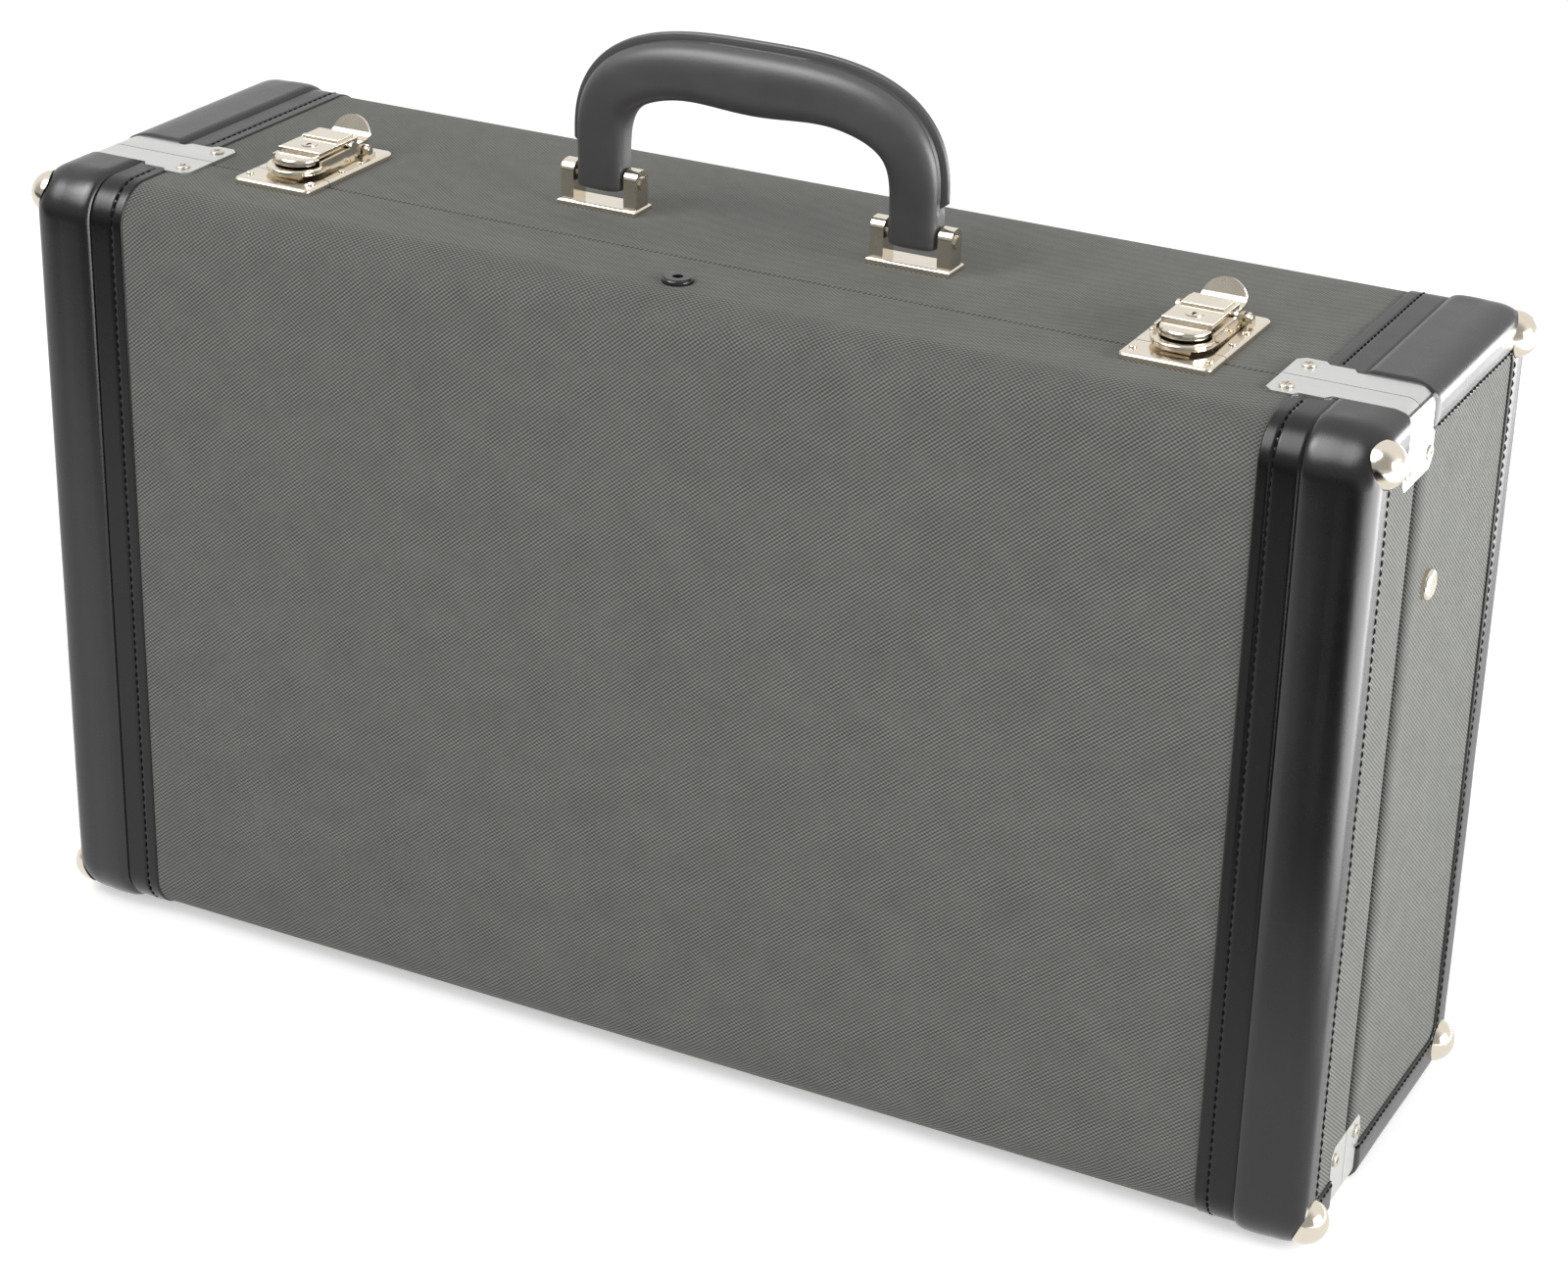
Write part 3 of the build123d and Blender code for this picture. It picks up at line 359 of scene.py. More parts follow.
def plush_material(name, dark, light):
    """Short-pile lining plush, with a nap that catches the light."""
    shader = Shader(name)
    pile = shader.noise(2300.0, 4.0, 0.7)
    nap = shader.noise(36.0, 4.0, 0.6)
    tone = shader.math("MULTIPLY_ADD", nap, 0.7, shader.math("MULTIPLY", pile, 0.5))
    color = shader.ramp(tone, (0.25, dark), (0.95, light))
    shader.set(Base_Color=color, Roughness=0.95, Specular_IOR_Level=0.2)
    shader.set(Sheen_Weight=0.8, Sheen_Roughness=0.35, Sheen_Tint=light)
    return shader.bump(pile, 0.4 * MM, 0.8)


def wood_material():
    """Plain plywood board, seen at the rims when the case is open."""
    shader = Shader("case_board")
    rings = shader.grain((14.0, 900.0, 160.0), 5.0, 0.6)
    color = shader.ramp(rings, (0.3, (0.36, 0.24, 0.13)), (0.7, (0.56, 0.41, 0.25)))
    shader.set(Base_Color=color, Roughness=0.62)
    return shader.bump(rings, 0.05 * MM, 0.5)


def rail_material():
    """The closing rail: wood stained black, with its grain in a satin lacquer."""
    shader = Shader("black_rail")
    rings = shader.grain((9.0, 700.0, 700.0), 5.0, 0.6)
    color = shader.ramp(rings, (0.3, (0.008, 0.007, 0.007)), (0.75, (0.024, 0.020, 0.018)))
    shader.set(Base_Color=color, Roughness=shader.span(rings, 0.38, 0.55))
    return shader.bump(rings, 0.05 * MM, 0.5)


MATERIALS = {
    "twill": twill_material("grey_twill"),
    "end_twill": twill_material("grey_end_twill", turned_in=True),
    "leather": leather_material(),
    "thread": thread_material(),
    "nickel": nickel_material(),
    "bracket": bracket_material(),
    "screw": screw_material(),
    "handle": handle_material(),
    "rubber": rubber_material(),
    "plush": plush_material("lining_plush", (0.010, 0.010, 0.013), (0.045, 0.045, 0.055)),
    "wood": wood_material(),
    "rail": rail_material(),
}


# Mesh helpers

def solid(name, vertices, faces):
    """A bare mesh object, to keep, to cut with or to be cut."""
    mesh = bpy.data.meshes.new(name)
    mesh.from_pydata([tuple(v) for v in vertices], [], faces)
    mesh.validate()
    work = bmesh.new()
    work.from_mesh(mesh)
    bmesh.ops.recalc_face_normals(work, faces=work.faces)
    work.to_mesh(mesh)
    work.free()
    made = bpy.data.objects.new(name, mesh)
    bpy.context.scene.collection.objects.link(made)
    return made


def take_mesh(made, name, material, body, replaced, sharp):
    """Makes a bare mesh a piece of the case, which moves with one of its bodies."""
    made.name = name
    made.data.shade_smooth()
    made.data.set_sharp_from_angle(angle=math.radians(sharp))
    made.data.materials.clear()
    made.data.materials.append(MATERIALS[material])
    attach(made, body)
    if replaced:
        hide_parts(*replaced)
    return made


def add_piece(name, vertices, faces, material, body, replaced, sharp=40):
    return take_mesh(solid(name, vertices, faces), name, material, body, replaced, sharp)


def loft_faces(count, width):
    """Faces of a closed tube of sections, with both ends capped."""
    faces = []
    for i in range(count - 1):
        for j in range(width):
            k = (j + 1) % width
            faces.append((i * width + j, i * width + k, (i + 1) * width + k, (i + 1) * width + j))
    faces.append(tuple(range(width)))
    faces.append(tuple(range((count - 1) * width, count * width)))
    return faces


def voxels(piece, size):
    remesh = piece.modifiers.new("remesh", "REMESH")
    remesh.mode = "VOXEL"
    remesh.voxel_size = size


def vertex_places(piece):
    places = np.empty(3 * len(piece.data.vertices))
    piece.data.vertices.foreach_get("co", places)
    return places.reshape(-1, 3)


def move_vertices(piece, places):
    piece.data.vertices.foreach_set("co", places.ravel())
    piece.data.update()


def apply_modifiers(piece):
    graph = bpy.context.evaluated_depsgraph_get()
    mesh = bpy.data.meshes.new_from_object(piece.evaluated_get(graph))
    piece.modifiers.clear()
    piece.data = mesh


def cut(piece, cutters):
    """Takes the cutters' volume out of the piece, and removes the cutters."""
    for cutter in cutters:
        difference = piece.modifiers.new("cut", "BOOLEAN")
        difference.operation = "DIFFERENCE"
        difference.solver = "EXACT"
        difference.object = cutter
        apply_modifiers(piece)
        bpy.data.objects.remove(cutter)


def rod(centre, along, radius, half_length, sides=32):
    """A round cutter along X or Y."""
    vertices = []
    for way in (-half_length, half_length):
        for k in range(sides):
            turn = 2 * math.pi * k / sides
            first, second = (way, radius * math.cos(turn)) if along == "x" else (radius * math.cos(turn), way)
            vertices.append((centre[0] + first, centre[1] + second, centre[2] + radius * math.sin(turn)))
    return solid("rod", vertices, loft_faces(2, sides))


def set_cloth_uv(piece, uv_of):
    """Stores the weave's own directions on the cloth, in metres."""
    mesh = piece.data
    layer = mesh.uv_layers.new(name="cloth")
    for polygon in mesh.polygons:
        for index in polygon.loop_indices:
            layer.data[index].uv = uv_of[mesh.loops[index].vertex_index]


def smooth_step(value):
    value = min(max(value, 0.0), 1.0)
    return value * value * (3 - 2 * value)


# The rim: the case's outline round its four long faces, followed from the seam on top
# to the seam underneath. A station is a named stretch of it with a position along it.

CORNER_Y = HALF_DEPTH - LONG_EDGE
CORNER_Z = MIDDLE_Z - LONG_EDGE
CORNER_BLEND = 0.020

# Steps along the rim for each kind of piece: near the seam, on a face and round an edge, and
# for the cover how far from the seam the small ones go
COVER_STEPS = (0.2 * MM, 0.012, 12, 1.2 * MM)
LEATHER_STEPS = (0.5 * MM, 0.008, 12)
STITCH_STEPS = (0.001, 0.002, 16)
LINING_STEPS = (0.006, 0.012, 10)


def rim_start(side):
    return side * SEAM_Y + SEAM_GAP / 2


def stations(side, near_step, far_step, arc_steps, near=0.024):
    """Places along the rim, closer together near the seam."""
    start = rim_start(side)
    across = [start]
    while across[-1] < CORNER_Y - far_step / 2:
        step = near_step if across[-1] - start < near else far_step
        across.append(min(across[-1] + step, CORNER_Y))
    down_steps = max(int(2 * CORNER_Z / far_step), 2)
    places = [("top", y) for y in across]
    places += [("upper", math.pi / 2 * i / arc_steps) for i in range(1, arc_steps)]
    places += [("face", CORNER_Z - 2 * CORNER_Z * i / down_steps) for i in range(down_steps + 1)]
    places += [("lower", math.pi / 2 * i / arc_steps) for i in range(1, arc_steps)]
    places += [("bottom", y) for y in reversed(across)]
    return places


def squeeze(value, limit, corner):
    """Draws a place towards a tighter corner, smoothly over the last stretch before it."""
    share = smooth_step((abs(value) - (limit - CORNER_BLEND)) / CORNER_BLEND)
    return value - math.copysign((limit - corner) * share, value)


def rim_point(station, inset):
    """The outline's point at an inset (outward distance, height) and its outward normal."""
    kind, value = station
    radius = max(LONG_EDGE - inset, WINDOW_RADIUS)
    corner_y = HALF_DEPTH - inset - radius
    corner_z = MIDDLE_Z - inset - radius
    if kind == "top":
        return squeeze(value, CORNER_Y, corner_y), HEIGHT - inset, 0.0, 1.0
    if kind == "bottom":
        return squeeze(value, CORNER_Y, corner_y), inset, 0.0, -1.0
    if kind == "face":
        return HALF_DEPTH - inset, MIDDLE_Z + squeeze(value, CORNER_Z, corner_z), 1.0, 0.0
    sine = math.sin(value)
    cosine = math.cos(value)
    if kind == "upper":
        return corner_y + radius * sine, MIDDLE_Z + corner_z + radius * cosine, sine, cosine
    return corner_y + radius * cosine, MIDDLE_Z - corner_z - radius * sine, cosine, -sine


def rim_lengths(places, inset):
    """The distance along the rim from the seam on top to each station."""
    lengths = [0.0]
    for first, second in zip(places, places[1:]):
        y0, z0 = rim_point(first, inset)[:2]
        y1, z1 = rim_point(second, inset)[:2]
        lengths.append(lengths[-1] + math.hypot(y1 - y0, z1 - z0))
    return lengths


def edge_dip(distance, radius):
    """How far a rounded edge falls at a distance from its end."""
    if distance >= radius:
        return 0.0
    return radius - math.sqrt(radius ** 2 - (radius - distance) ** 2)


# The woven cover

COVER_OVERLAP = 0.0008
COVER_EDGE = 0.0009
COVER_LEAST = 0.02 * MM
COLUMN_APART = 0.01 * MM

# How far an end panel is rounded at the seam, along Y and along X
PANEL_EDGE = {BODY: 0.0042, LID: 0.0010}
PANEL_DIP = {BODY: 0.0013, LID: 0.0009}
PANEL_EDGE_STEPS = 10
PANEL_TUCK = 0.5 * MM


def clear_of_hinges(x, y, z, side):
    """Moves a point of the cover's edge out of the hinges' room on the standing face."""
    away = side * (y - SEAM_Y)
    near_hinge = any(abs(x - place) < HINGE_HALF for place in HINGE_PLACES)
    if z < LONG_EDGE / 2 and near_hinge and away < HINGE_ROOM:
        return SEAM_Y + side * HINGE_ROOM
    return y


def cover_columns():
    """Places along X, with a pair at each side of every hinge's room."""
    reach = STRIP_START + COVER_OVERLAP
    columns = [-reach, reach]
    for place in HINGE_PLACES:
        for end in ENDS:
            edge = place + end * HINGE_HALF
            columns += [edge - COLUMN_APART, edge + COLUMN_APART]
    return sorted(columns)


def make_cover(side):
    places = stations(side, *COVER_STEPS)
    lengths = rim_lengths(places, CLOTH)
    total = lengths[-1]
    columns = cover_columns()
    vertices = []
    uv_of = []
    for station, length in zip(places, lengths):
        dip = edge_dip(min(length, total - length), COVER_EDGE)
        for inset, row in ((CLOTH + dip, columns), (BOARD, columns[::-1])):
            outer = row is columns
            away, z = rim_point(station, min(inset, BOARD - COVER_LEAST) if outer else inset)[:2]
            for x in row:
                y = clear_of_hinges(x, side * away, z, side)
                vertices.append((x, y, z))
                uv_of.append((x, side * length))
    width = 2 * len(columns)
    name = SIDE_NAME[side] + "_cover"
    piece = add_piece(
        name, vertices, loft_faces(len(places), width), "twill", BODY_NAME[side],
        (SIDE_NAME[side] + "_textile",),
    )
    set_cloth_uv(piece, uv_of)
    return piece


def make_end_panel(side, end):
    """The twill panel inside the leather border of one end face, on one side of the seam."""
    outer = HALF_LENGTH - PANEL
    inner = HALF_LENGTH - BOARD
    low = BORDER - PANEL_TUCK
    start = rim_start(side)
    stop = HALF_DEPTH - low
    edge = PANEL_EDGE[side]
    steps = [start + edge * (i / PANEL_EDGE_STEPS) ** 2 for i in range(PANEL_EDGE_STEPS + 1)]
    vertices = []
    uv_of = []
    for y in steps + [stop]:
        x = outer - PANEL_DIP[side] * edge_dip((y - start) / edge, 1.0)
        for place_x, z in ((inner, low), (x, low), (x, HEIGHT - low), (inner, HEIGHT - low)):
            vertices.append((end * place_x, side * y, z))
            uv_of.append((-end * side * y, z))
    name = "%s_panel_%s" % (SIDE_NAME[side], HAND[end])
    piece = add_piece(
        name, vertices, loft_faces(len(steps) + 1, 4), "end_twill", BODY_NAME[side],
        (SIDE_NAME[side] + "_end_panels",),
    )
    set_cloth_uv(piece, uv_of)
    return piece


# The leather ends

# Both outlines of a bracket run on past the case's edge, where its two arms meet
PAST_EDGE = -0.03

# Half of a bracket on the top or bottom: (distance from the end, distance from the seam)
FACE_OUTLINE = [
    (BRACKET_REACH, 0), (BRACKET_REACH, 0.0165), (0.054, BRACKET_LOBE), (0.046, BRACKET_LOBE),
    (0.044, BRACKET_NECK), (0.034, BRACKET_NECK), (0.032, BRACKET_WAIST),
    (PAST_EDGE, BRACKET_WAIST), (PAST_EDGE, 0),
]

# Half of a bracket on an end face: (distance from the top or bottom, distance from the seam)
END_OUTLINE = [
    (BRACKET_DROP, 0), (BRACKET_DROP, 0.014), (0.030, BRACKET_NECK), (0.019, BRACKET_NECK),
    (0.017, BRACKET_WAIST), (PAST_EDGE, BRACKET_WAIST), (PAST_EDGE, 0),
]


def outline_distance(point, outline):
    """Signed distance from a point to an outline, below zero inside it. The seam side is open."""
    px, py = point
    inside = False
    nearest = 1.0
    last = len(outline) - 1
    for index, (first, second) in enumerate(zip(outline, outline[1:] + outline[:1])):
        (ax, ay), (bx, by) = first, second
        if (ay > py) != (by > py) and px < (bx - ax) * (py - ay) / (by - ay) + ax:
            inside = not inside
        if index == last:
            continue
        dx, dy = bx - ax, by - ay
        share = min(max(((px - ax) * dx + (py - ay) * dy) / (dx * dx + dy * dy), 0.0), 1.0)
        nearest = min(nearest, math.hypot(px - ax - share * dx, py - ay - share * dy))
    return -nearest if inside else nearest


POCKET_DEPTH = 0.0020
POCKET_SHOULDER = 0.0034
POCKET_GAP = 0.0001
POCKET_POWER = 0.8
POCKET_LEAST = 0.05 * MM
BULGE_FADE = 0.0004

# A point counts as on the end or on the long faces from this share of its normal
END_FACING = 0.7
RIM_FACING = 0.3

# Near the standing seam the leather keeps above a slope, so that the lid can turn there
FOLD_HEIGHT = CLOTH + 0.0001
FOLD_SLOPE = 0.75


def pocket_depth(x, y, z, on_end):
    """How deep the leather is drawn in under and beside a bracket."""
    across = max(abs(y - SEAM_Y), 0.1 * MM)
    if on_end:
        distance = outline_distance((min(z, HEIGHT - z), across), END_OUTLINE)
    else:
        distance = outline_distance((HALF_LENGTH - abs(x), across), FACE_OUTLINE)
    distance -= POCKET_GAP
    if distance <= 0:
        return POCKET_DEPTH
    if distance >= POCKET_SHOULDER:
        return 0.0
    share = 1 - distance / POCKET_SHOULDER
    return POCKET_DEPTH * (1 - math.sqrt(1 - share ** 2)) ** POCKET_POWER


PAD_CROWN = 0.35 * MM
PAD_DROOP = 0.15 * MM
DROOP_START = 0.012
DROOP_LENGTH = 0.004
STRIP_EDGE = 0.7 * MM
BORDER_EDGE = 0.5 * MM
SWELL_RISE = 0.010

# Soft unevenness of the pad: how fine it is along X and round the case, its shift and height
SWELLS = ((30, 24, 0, 0.22 * MM), (90, 55, 7, 0.06 * MM))

# Steps across the leather, with finer ones at its grooves and edges: (place, half length)
PAD_STEP = 0.0010
SHOULDER_STEP = 0.0005
BORDER_STEP = 0.0004
EDGE_STEPS = 12
FINE_STEP = 0.0003
FINE_STRETCHES = ((STITCH_LINE, 0.0018), (CREASE, 0.0018), (STRIP_START, 0.0009))

# Each groove's width and depth
STRIP_GROOVE = (0.8 * MM, 0.40 * MM)
CREASE_GROOVE = (0.7 * MM, 0.45 * MM)
BORDER_GROOVE = (0.9 * MM, 0.30 * MM)


def groove(place, centre, width, depth):
    return depth * math.exp(-((place - centre) / width) ** 2)


def leather_profile():
    """The leather's surface across a band: (x, inset, outward x, outward rim, drawn in)."""
    rows = []
    pad_end = HALF_LENGTH - END_REACH
    marks = set(np.round(np.arange(STRIP_START, pad_end, PAD_STEP), 5))
    for centre, reach in FINE_STRETCHES:
        marks |= set(np.round(np.arange(centre - reach, centre + reach, FINE_STEP), 5))
    marks |= set(np.round(np.arange(CREASE, CREASE + SHOULDER, SHOULDER_STEP), 5))
    for x in sorted(m for m in marks if STRIP_START - 0.01 * MM <= m < pad_end):
        depth = edge_dip(x - STRIP_START, STRIP_EDGE)
        depth += groove(x, STITCH_LINE, *STRIP_GROOVE)
        depth += groove(x, CREASE, *CREASE_GROOVE)
        if x < CREASE:
            inset = STRIP
        else:
            rise = min((x - CREASE) / SHOULDER, 1.0)
            inset = STRIP * (1 - math.sqrt(1 - (1 - rise) ** 2)) if rise < 1 else 0.0
            inset -= PAD_CROWN * math.sin(math.pi * (x - CREASE) / (pad_end - CREASE))
        rows.append((x, inset, 0.0, 1.0, depth))
    for i in range(EDGE_STEPS + 1):
        turn = math.pi / 2 * i / EDGE_STEPS
        along = math.sin(turn) ** (2 / END_POWER)
        across = math.cos(turn) ** (2 / END_POWER)
        out_x = along ** (END_POWER - 1) / END_REACH
        out_rim = across ** (END_POWER - 1) / END_EDGE
        length = math.hypot(out_x, out_rim)
        x = pad_end + END_REACH * along
        rows.append((x, END_EDGE * (1 - across), out_x / length, out_rim / length, 0.0))
    inset = END_EDGE
    while inset < BORDER - BORDER_STEP / 2:
        inset += BORDER_STEP
        droop = PAD_DROOP * smooth_step((inset - DROOP_START) / DROOP_LENGTH)
        depth = groove(inset, BORDER_STITCH, *BORDER_GROOVE)
        depth += edge_dip(BORDER - inset, BORDER_EDGE) + droop
        rows.append((HALF_LENGTH, inset, 1.0, 0.0, depth))
    return rows


# The band's hidden inner side, from the end face back to the strip: (x, inset)
LEATHER_BACK = [
    (HALF_LENGTH - PANEL - 0.4 * MM, BORDER),
    (HALF_LENGTH - BOARD, BORDER),
    (HALF_LENGTH - BOARD, BOARD),
    (STRIP_START, BOARD),
]


def end_bulge(x, inset):
    """How far the leather's squarer end edge stands outside a round one."""
    along = x - (HALF_LENGTH - END_EDGE)
    across = END_EDGE - inset
    if along <= 0 or across <= 0:
        return 0.0
    return max(math.hypot(along, across) - END_EDGE, 0.0)


def leather_point(row, station, side, end):
    """A point of the leather's surface, with its softness and its bracket pocket."""
    x, inset, out_x, out_rim, depth = row
    away, z, normal_y, normal_z = rim_point(station, inset)
    y = side * away
    swell = 0.0
    for along, around, shift, height in SWELLS:
        swell += noise.noise(Vector((end * x * along + shift, y * around, z * around))) * height
    depth -= swell * smooth_step((x - CREASE) / SWELL_RISE)
    on_end = out_x > END_FACING
    if station[0] in ("top", "bottom"):
        pocket = max(pocket_depth(x, y, z, on_end) - inset * (1 - out_x), 0)
        if pocket > POCKET_LEAST:
            depth = max(depth, pocket) + end_bulge(x, inset) * smooth_step(pocket / BULGE_FADE)
    elif on_end:
        depth = max(depth, pocket_depth(x, y, z, True))
    if station[0] == "bottom" and out_rim > RIM_FACING:
        fold = FOLD_HEIGHT - FOLD_SLOPE * abs(y - SEAM_Y) - inset
        depth = max(depth, fold / out_rim)
    point = Vector((end * x, y, z))
    normal = Vector((end * out_x, side * normal_y * out_rim, normal_z * out_rim))
    return point - normal * depth, normal


def make_leather(side, end):
    places = stations(side, *LEATHER_STEPS)
    rows = leather_profile()
    vertices = []
    for station in places:
        for row in rows:
            vertices.append(leather_point(row, station, side, end)[0])
        for x, inset in LEATHER_BACK:
            away, z = rim_point(station, inset)[:2]
            vertices.append((end * x, side * away, z))
    width = len(rows) + len(LEATHER_BACK)
    name = "%s_leather_%s" % (SIDE_NAME[side], HAND[end])
    piece = add_piece(
        name, vertices, loft_faces(len(places), width), "leather", BODY_NAME[side],
        (SIDE_NAME[side] + "_leather_ends",), sharp=50,
    )


# Stitching

STITCH_PITCH = 3.9 * MM
STITCH_LENGTH = 3.2 * MM
STITCH_RINGS = 7
STITCH_SIDES = 6
STITCH_RISE = 0.38 * MM
STITCH_SINK = 0.20 * MM
STITCH_TAPER = 0.45
STITCH_HIDDEN = 0.8 * MM
STITCH_RADIUS = {"strip": 0.42 * MM, "border": 0.62 * MM}


def stitch_line(row, side, end):
    """Points along one line of stitching, with the surface's normal at each."""
    line = []
    for station in stations(side, *STITCH_STEPS):
        point, normal = leather_point(row, station, side, end)
        on_end = row[2] > END_FACING
        under = station[0] in ("top", "bottom") or on_end
        hidden = under and pocket_depth(row[0], point.y, point.z, on_end) > STITCH_HIDDEN
        line.append((point, normal, hidden))
    return line


def stitch_vertices(start, stop, normal, thickness):
    """One stitch: a low arched thread between its two holes."""
    along = stop - start
    across = along.cross(normal).normalized()
    vertices = []
    for i in range(STITCH_RINGS):
        share = i / (STITCH_RINGS - 1)
        rise = math.sin(math.pi * share)
        centre = start + along * share + normal * (STITCH_RISE * rise - STITCH_SINK)
        radius = thickness * (1 - STITCH_TAPER + STITCH_TAPER * rise)
        for j in range(STITCH_SIDES):
            turn = 2 * math.pi * j / STITCH_SIDES
            vertices.append(centre + across * radius * math.cos(turn) + normal * radius * math.sin(turn))
    return vertices


def make_stitches(side, end, kind, row):
    vertices = []
    faces = []
    line = stitch_line(row, side, end)
    travelled = 0.0
    next_start = STITCH_PITCH / 2
    for (first, normal, hidden), (second, _, next_hidden) in zip(line, line[1:]):
        step = (second - first).length
        while travelled + step > next_start:
            start = first.lerp(second, (next_start - travelled) / step)
            stop = start + (second - first).normalized() * STITCH_LENGTH
            if not (hidden or next_hidden):
                base = len(vertices)
                vertices += stitch_vertices(start, stop, normal, STITCH_RADIUS[kind])
                stitch_faces = loft_faces(STITCH_RINGS, STITCH_SIDES)
                faces += [tuple(base + k for k in face) for face in stitch_faces]
            next_start += STITCH_PITCH
        travelled += step
    name = "%s_%s_stitches_%s" % (SIDE_NAME[side], kind, HAND[end])
    add_piece(name, vertices, faces, "thread", BODY_NAME[side], (), sharp=70)


def stitch_rows():
    rows = leather_profile()
    strip = min(rows, key=lambda row: abs(row[0] - STITCH_LINE) + row[2])
    border = min((row for row in rows if row[2] == 1.0), key=lambda row: abs(row[1] - BORDER_STITCH))
    return strip, border


def make_case():
    strip, border = stitch_rows()
    for side in (BODY, LID):
        make_cover(side)
        for end in ENDS:
            make_end_panel(side, end)
            make_leather(side, end)
            make_stitches(side, end, "strip", strip)
            make_stitches(side, end, "border", border)


# The handle: a padded grip on two straight legs, with a welt along its outer side

GRIP_SPAN = 0.144
GRIP_RISE = 0.0403
GRIP_SHOULDER = 0.026
GRIP_FOOT = 0.009
GRIP_ROUNDNESS = 3.1
LEG_SECTION = (0.0218, 0.0144)
GRIP_SECTION = (0.0250, 0.0230)
GRIP_SWELL = 0.0026
GRIP_SWELL_REACH = 0.040
GRIP_DEPTH_POWER = 1.5
LEG_STEPS = 9
ARCH_STEPS = 240
GRIP_STEPS = 119
FOOT_ROUNDING = 0.0016
SECTION_POINTS = 56
SECTION_CROWDING = 0.55
LEG_POWER = 3.4
GRIP_POWER = 2.7
WELT_GROOVE_PLACE = 0.0024
WELT_GROOVE_WIDTH = 0.0008
WELT_GROOVE_DEPTH = 0.0011
PIN_HEIGHT = 0.013
PIN_HOLE_RADIUS = 0.00205
WELT_HEIGHT = 0.0030
WELT_HALF = 0.0014
WELT_ROOT = 0.0022
WELT_EDGE = 0.0008
WELT_TAPER = 0.0015
WELT_START_RISE = 0.002


def arch_points():
    """The handle's centre line from the right foot to the left one: (x, z, rise)."""
    leg = [
        (GRIP_SPAN / 2, GRIP_FOOT + (GRIP_SHOULDER - GRIP_FOOT) * i / LEG_STEPS, 0.0)
        for i in range(LEG_STEPS)
    ]
    arch = []
    for i in range(ARCH_STEPS + 1):
        turn = math.pi / 2 * (1 - math.cos(math.pi * i / ARCH_STEPS))
        reach = math.copysign(abs(math.cos(turn)) ** (2 / GRIP_ROUNDNESS), math.cos(turn))
        rise = abs(math.sin(turn)) ** (2 / GRIP_ROUNDNESS)
        arch.append((GRIP_SPAN / 2 * reach, GRIP_SHOULDER + GRIP_RISE * rise, rise))
    return np.array(leg + arch + [(-x, z, rise) for x, z, rise in reversed(leg)])


def handle_line():
    """Places along the handle: (distance, x, z, rise, outward x, outward z)."""
    points = arch_points()
    steps = np.hypot(*np.diff(points[:, :2], axis=0).T)
    travelled = np.concatenate(([0.0], np.cumsum(steps)))
    total = travelled[-1]
    foot = np.array([0.0, 0.12, 0.4, 0.9]) * FOOT_ROUNDING
    above = 1.5 * FOOT_ROUNDING
    places = np.concatenate((foot, np.linspace(above, total - above, GRIP_STEPS), total - foot[::-1]))
    x, z, rise = (np.interp(places, travelled, points[:, k]) for k in range(3))
    slope_x = np.gradient(x, places)
    slope_z = np.gradient(z, places)
    length = np.hypot(slope_x, slope_z)
    base = HEIGHT - CLOTH
    return [
        (places[k], x[k], base + z[k], rise[k], slope_z[k] / length[k], -slope_x[k] / length[k])
        for k in range(len(places))
    ]


def power_section(half_u, half_v, power):
    """Points of a section between an ellipse (power 2) and a box, closer together at its outer side."""
    points = []
    for k in range(SECTION_POINTS):
        turn = 2 * math.pi * k / SECTION_POINTS
        turn -= SECTION_CROWDING * math.sin(turn)
        cosine = math.cos(turn)
        sine = math.sin(turn)
        u = math.copysign(abs(cosine) ** (2 / power), cosine)
        v = math.copysign(abs(sine) ** (2 / power), sine)
        points.append((half_u * u, half_v * v))
    return points


def grip_width(rise):
    return LEG_SECTION[0] + (GRIP_SECTION[0] - LEG_SECTION[0]) * rise


def grip_swell(x):
    """How much thicker the grip is on its inner side, most at its middle."""
    if abs(x) > GRIP_SWELL_REACH:
        return 0.0
    return GRIP_SWELL * math.cos(math.pi / 2 * x / GRIP_SWELL_REACH) ** 2


def make_grip():
    line = handle_line()
    total = line[-1][0]
    vertices = []
    for away, x, z, rise, out_x, out_z in line:
        swell = grip_swell(x)
        dip = edge_dip(min(away, total - away), FOOT_ROUNDING)
        depth = LEG_SECTION[1] + (GRIP_SECTION[1] - LEG_SECTION[1]) * rise ** GRIP_DEPTH_POWER
        power = LEG_POWER + (GRIP_POWER - LEG_POWER) * rise
        for u, v in power_section((grip_width(rise) + swell) / 2 - dip, depth / 2 - dip, power):
            if u > 0:
                share = min(rise / WELT_START_RISE, 1.0)
                u -= share * groove(abs(v), WELT_GROOVE_PLACE, WELT_GROOVE_WIDTH, WELT_GROOVE_DEPTH)
            u -= swell / 2
            vertices.append((x + out_x * u, v, z + out_z * u))
    grip = add_piece(
        "handle_grip", vertices, loft_faces(len(line), SECTION_POINTS), "handle", "handle",
        ("handle",), sharp=70,
    )
    for end in ENDS:
        pin = Vector((end * GRIP_SPAN / 2, 0, HEIGHT - CLOTH + PIN_HEIGHT))
        cut(grip, [rod(pin, "x", PIN_HOLE_RADIUS, LEG_SECTION[0])])
    grip.data.set_sharp_from_angle(angle=math.radians(55))


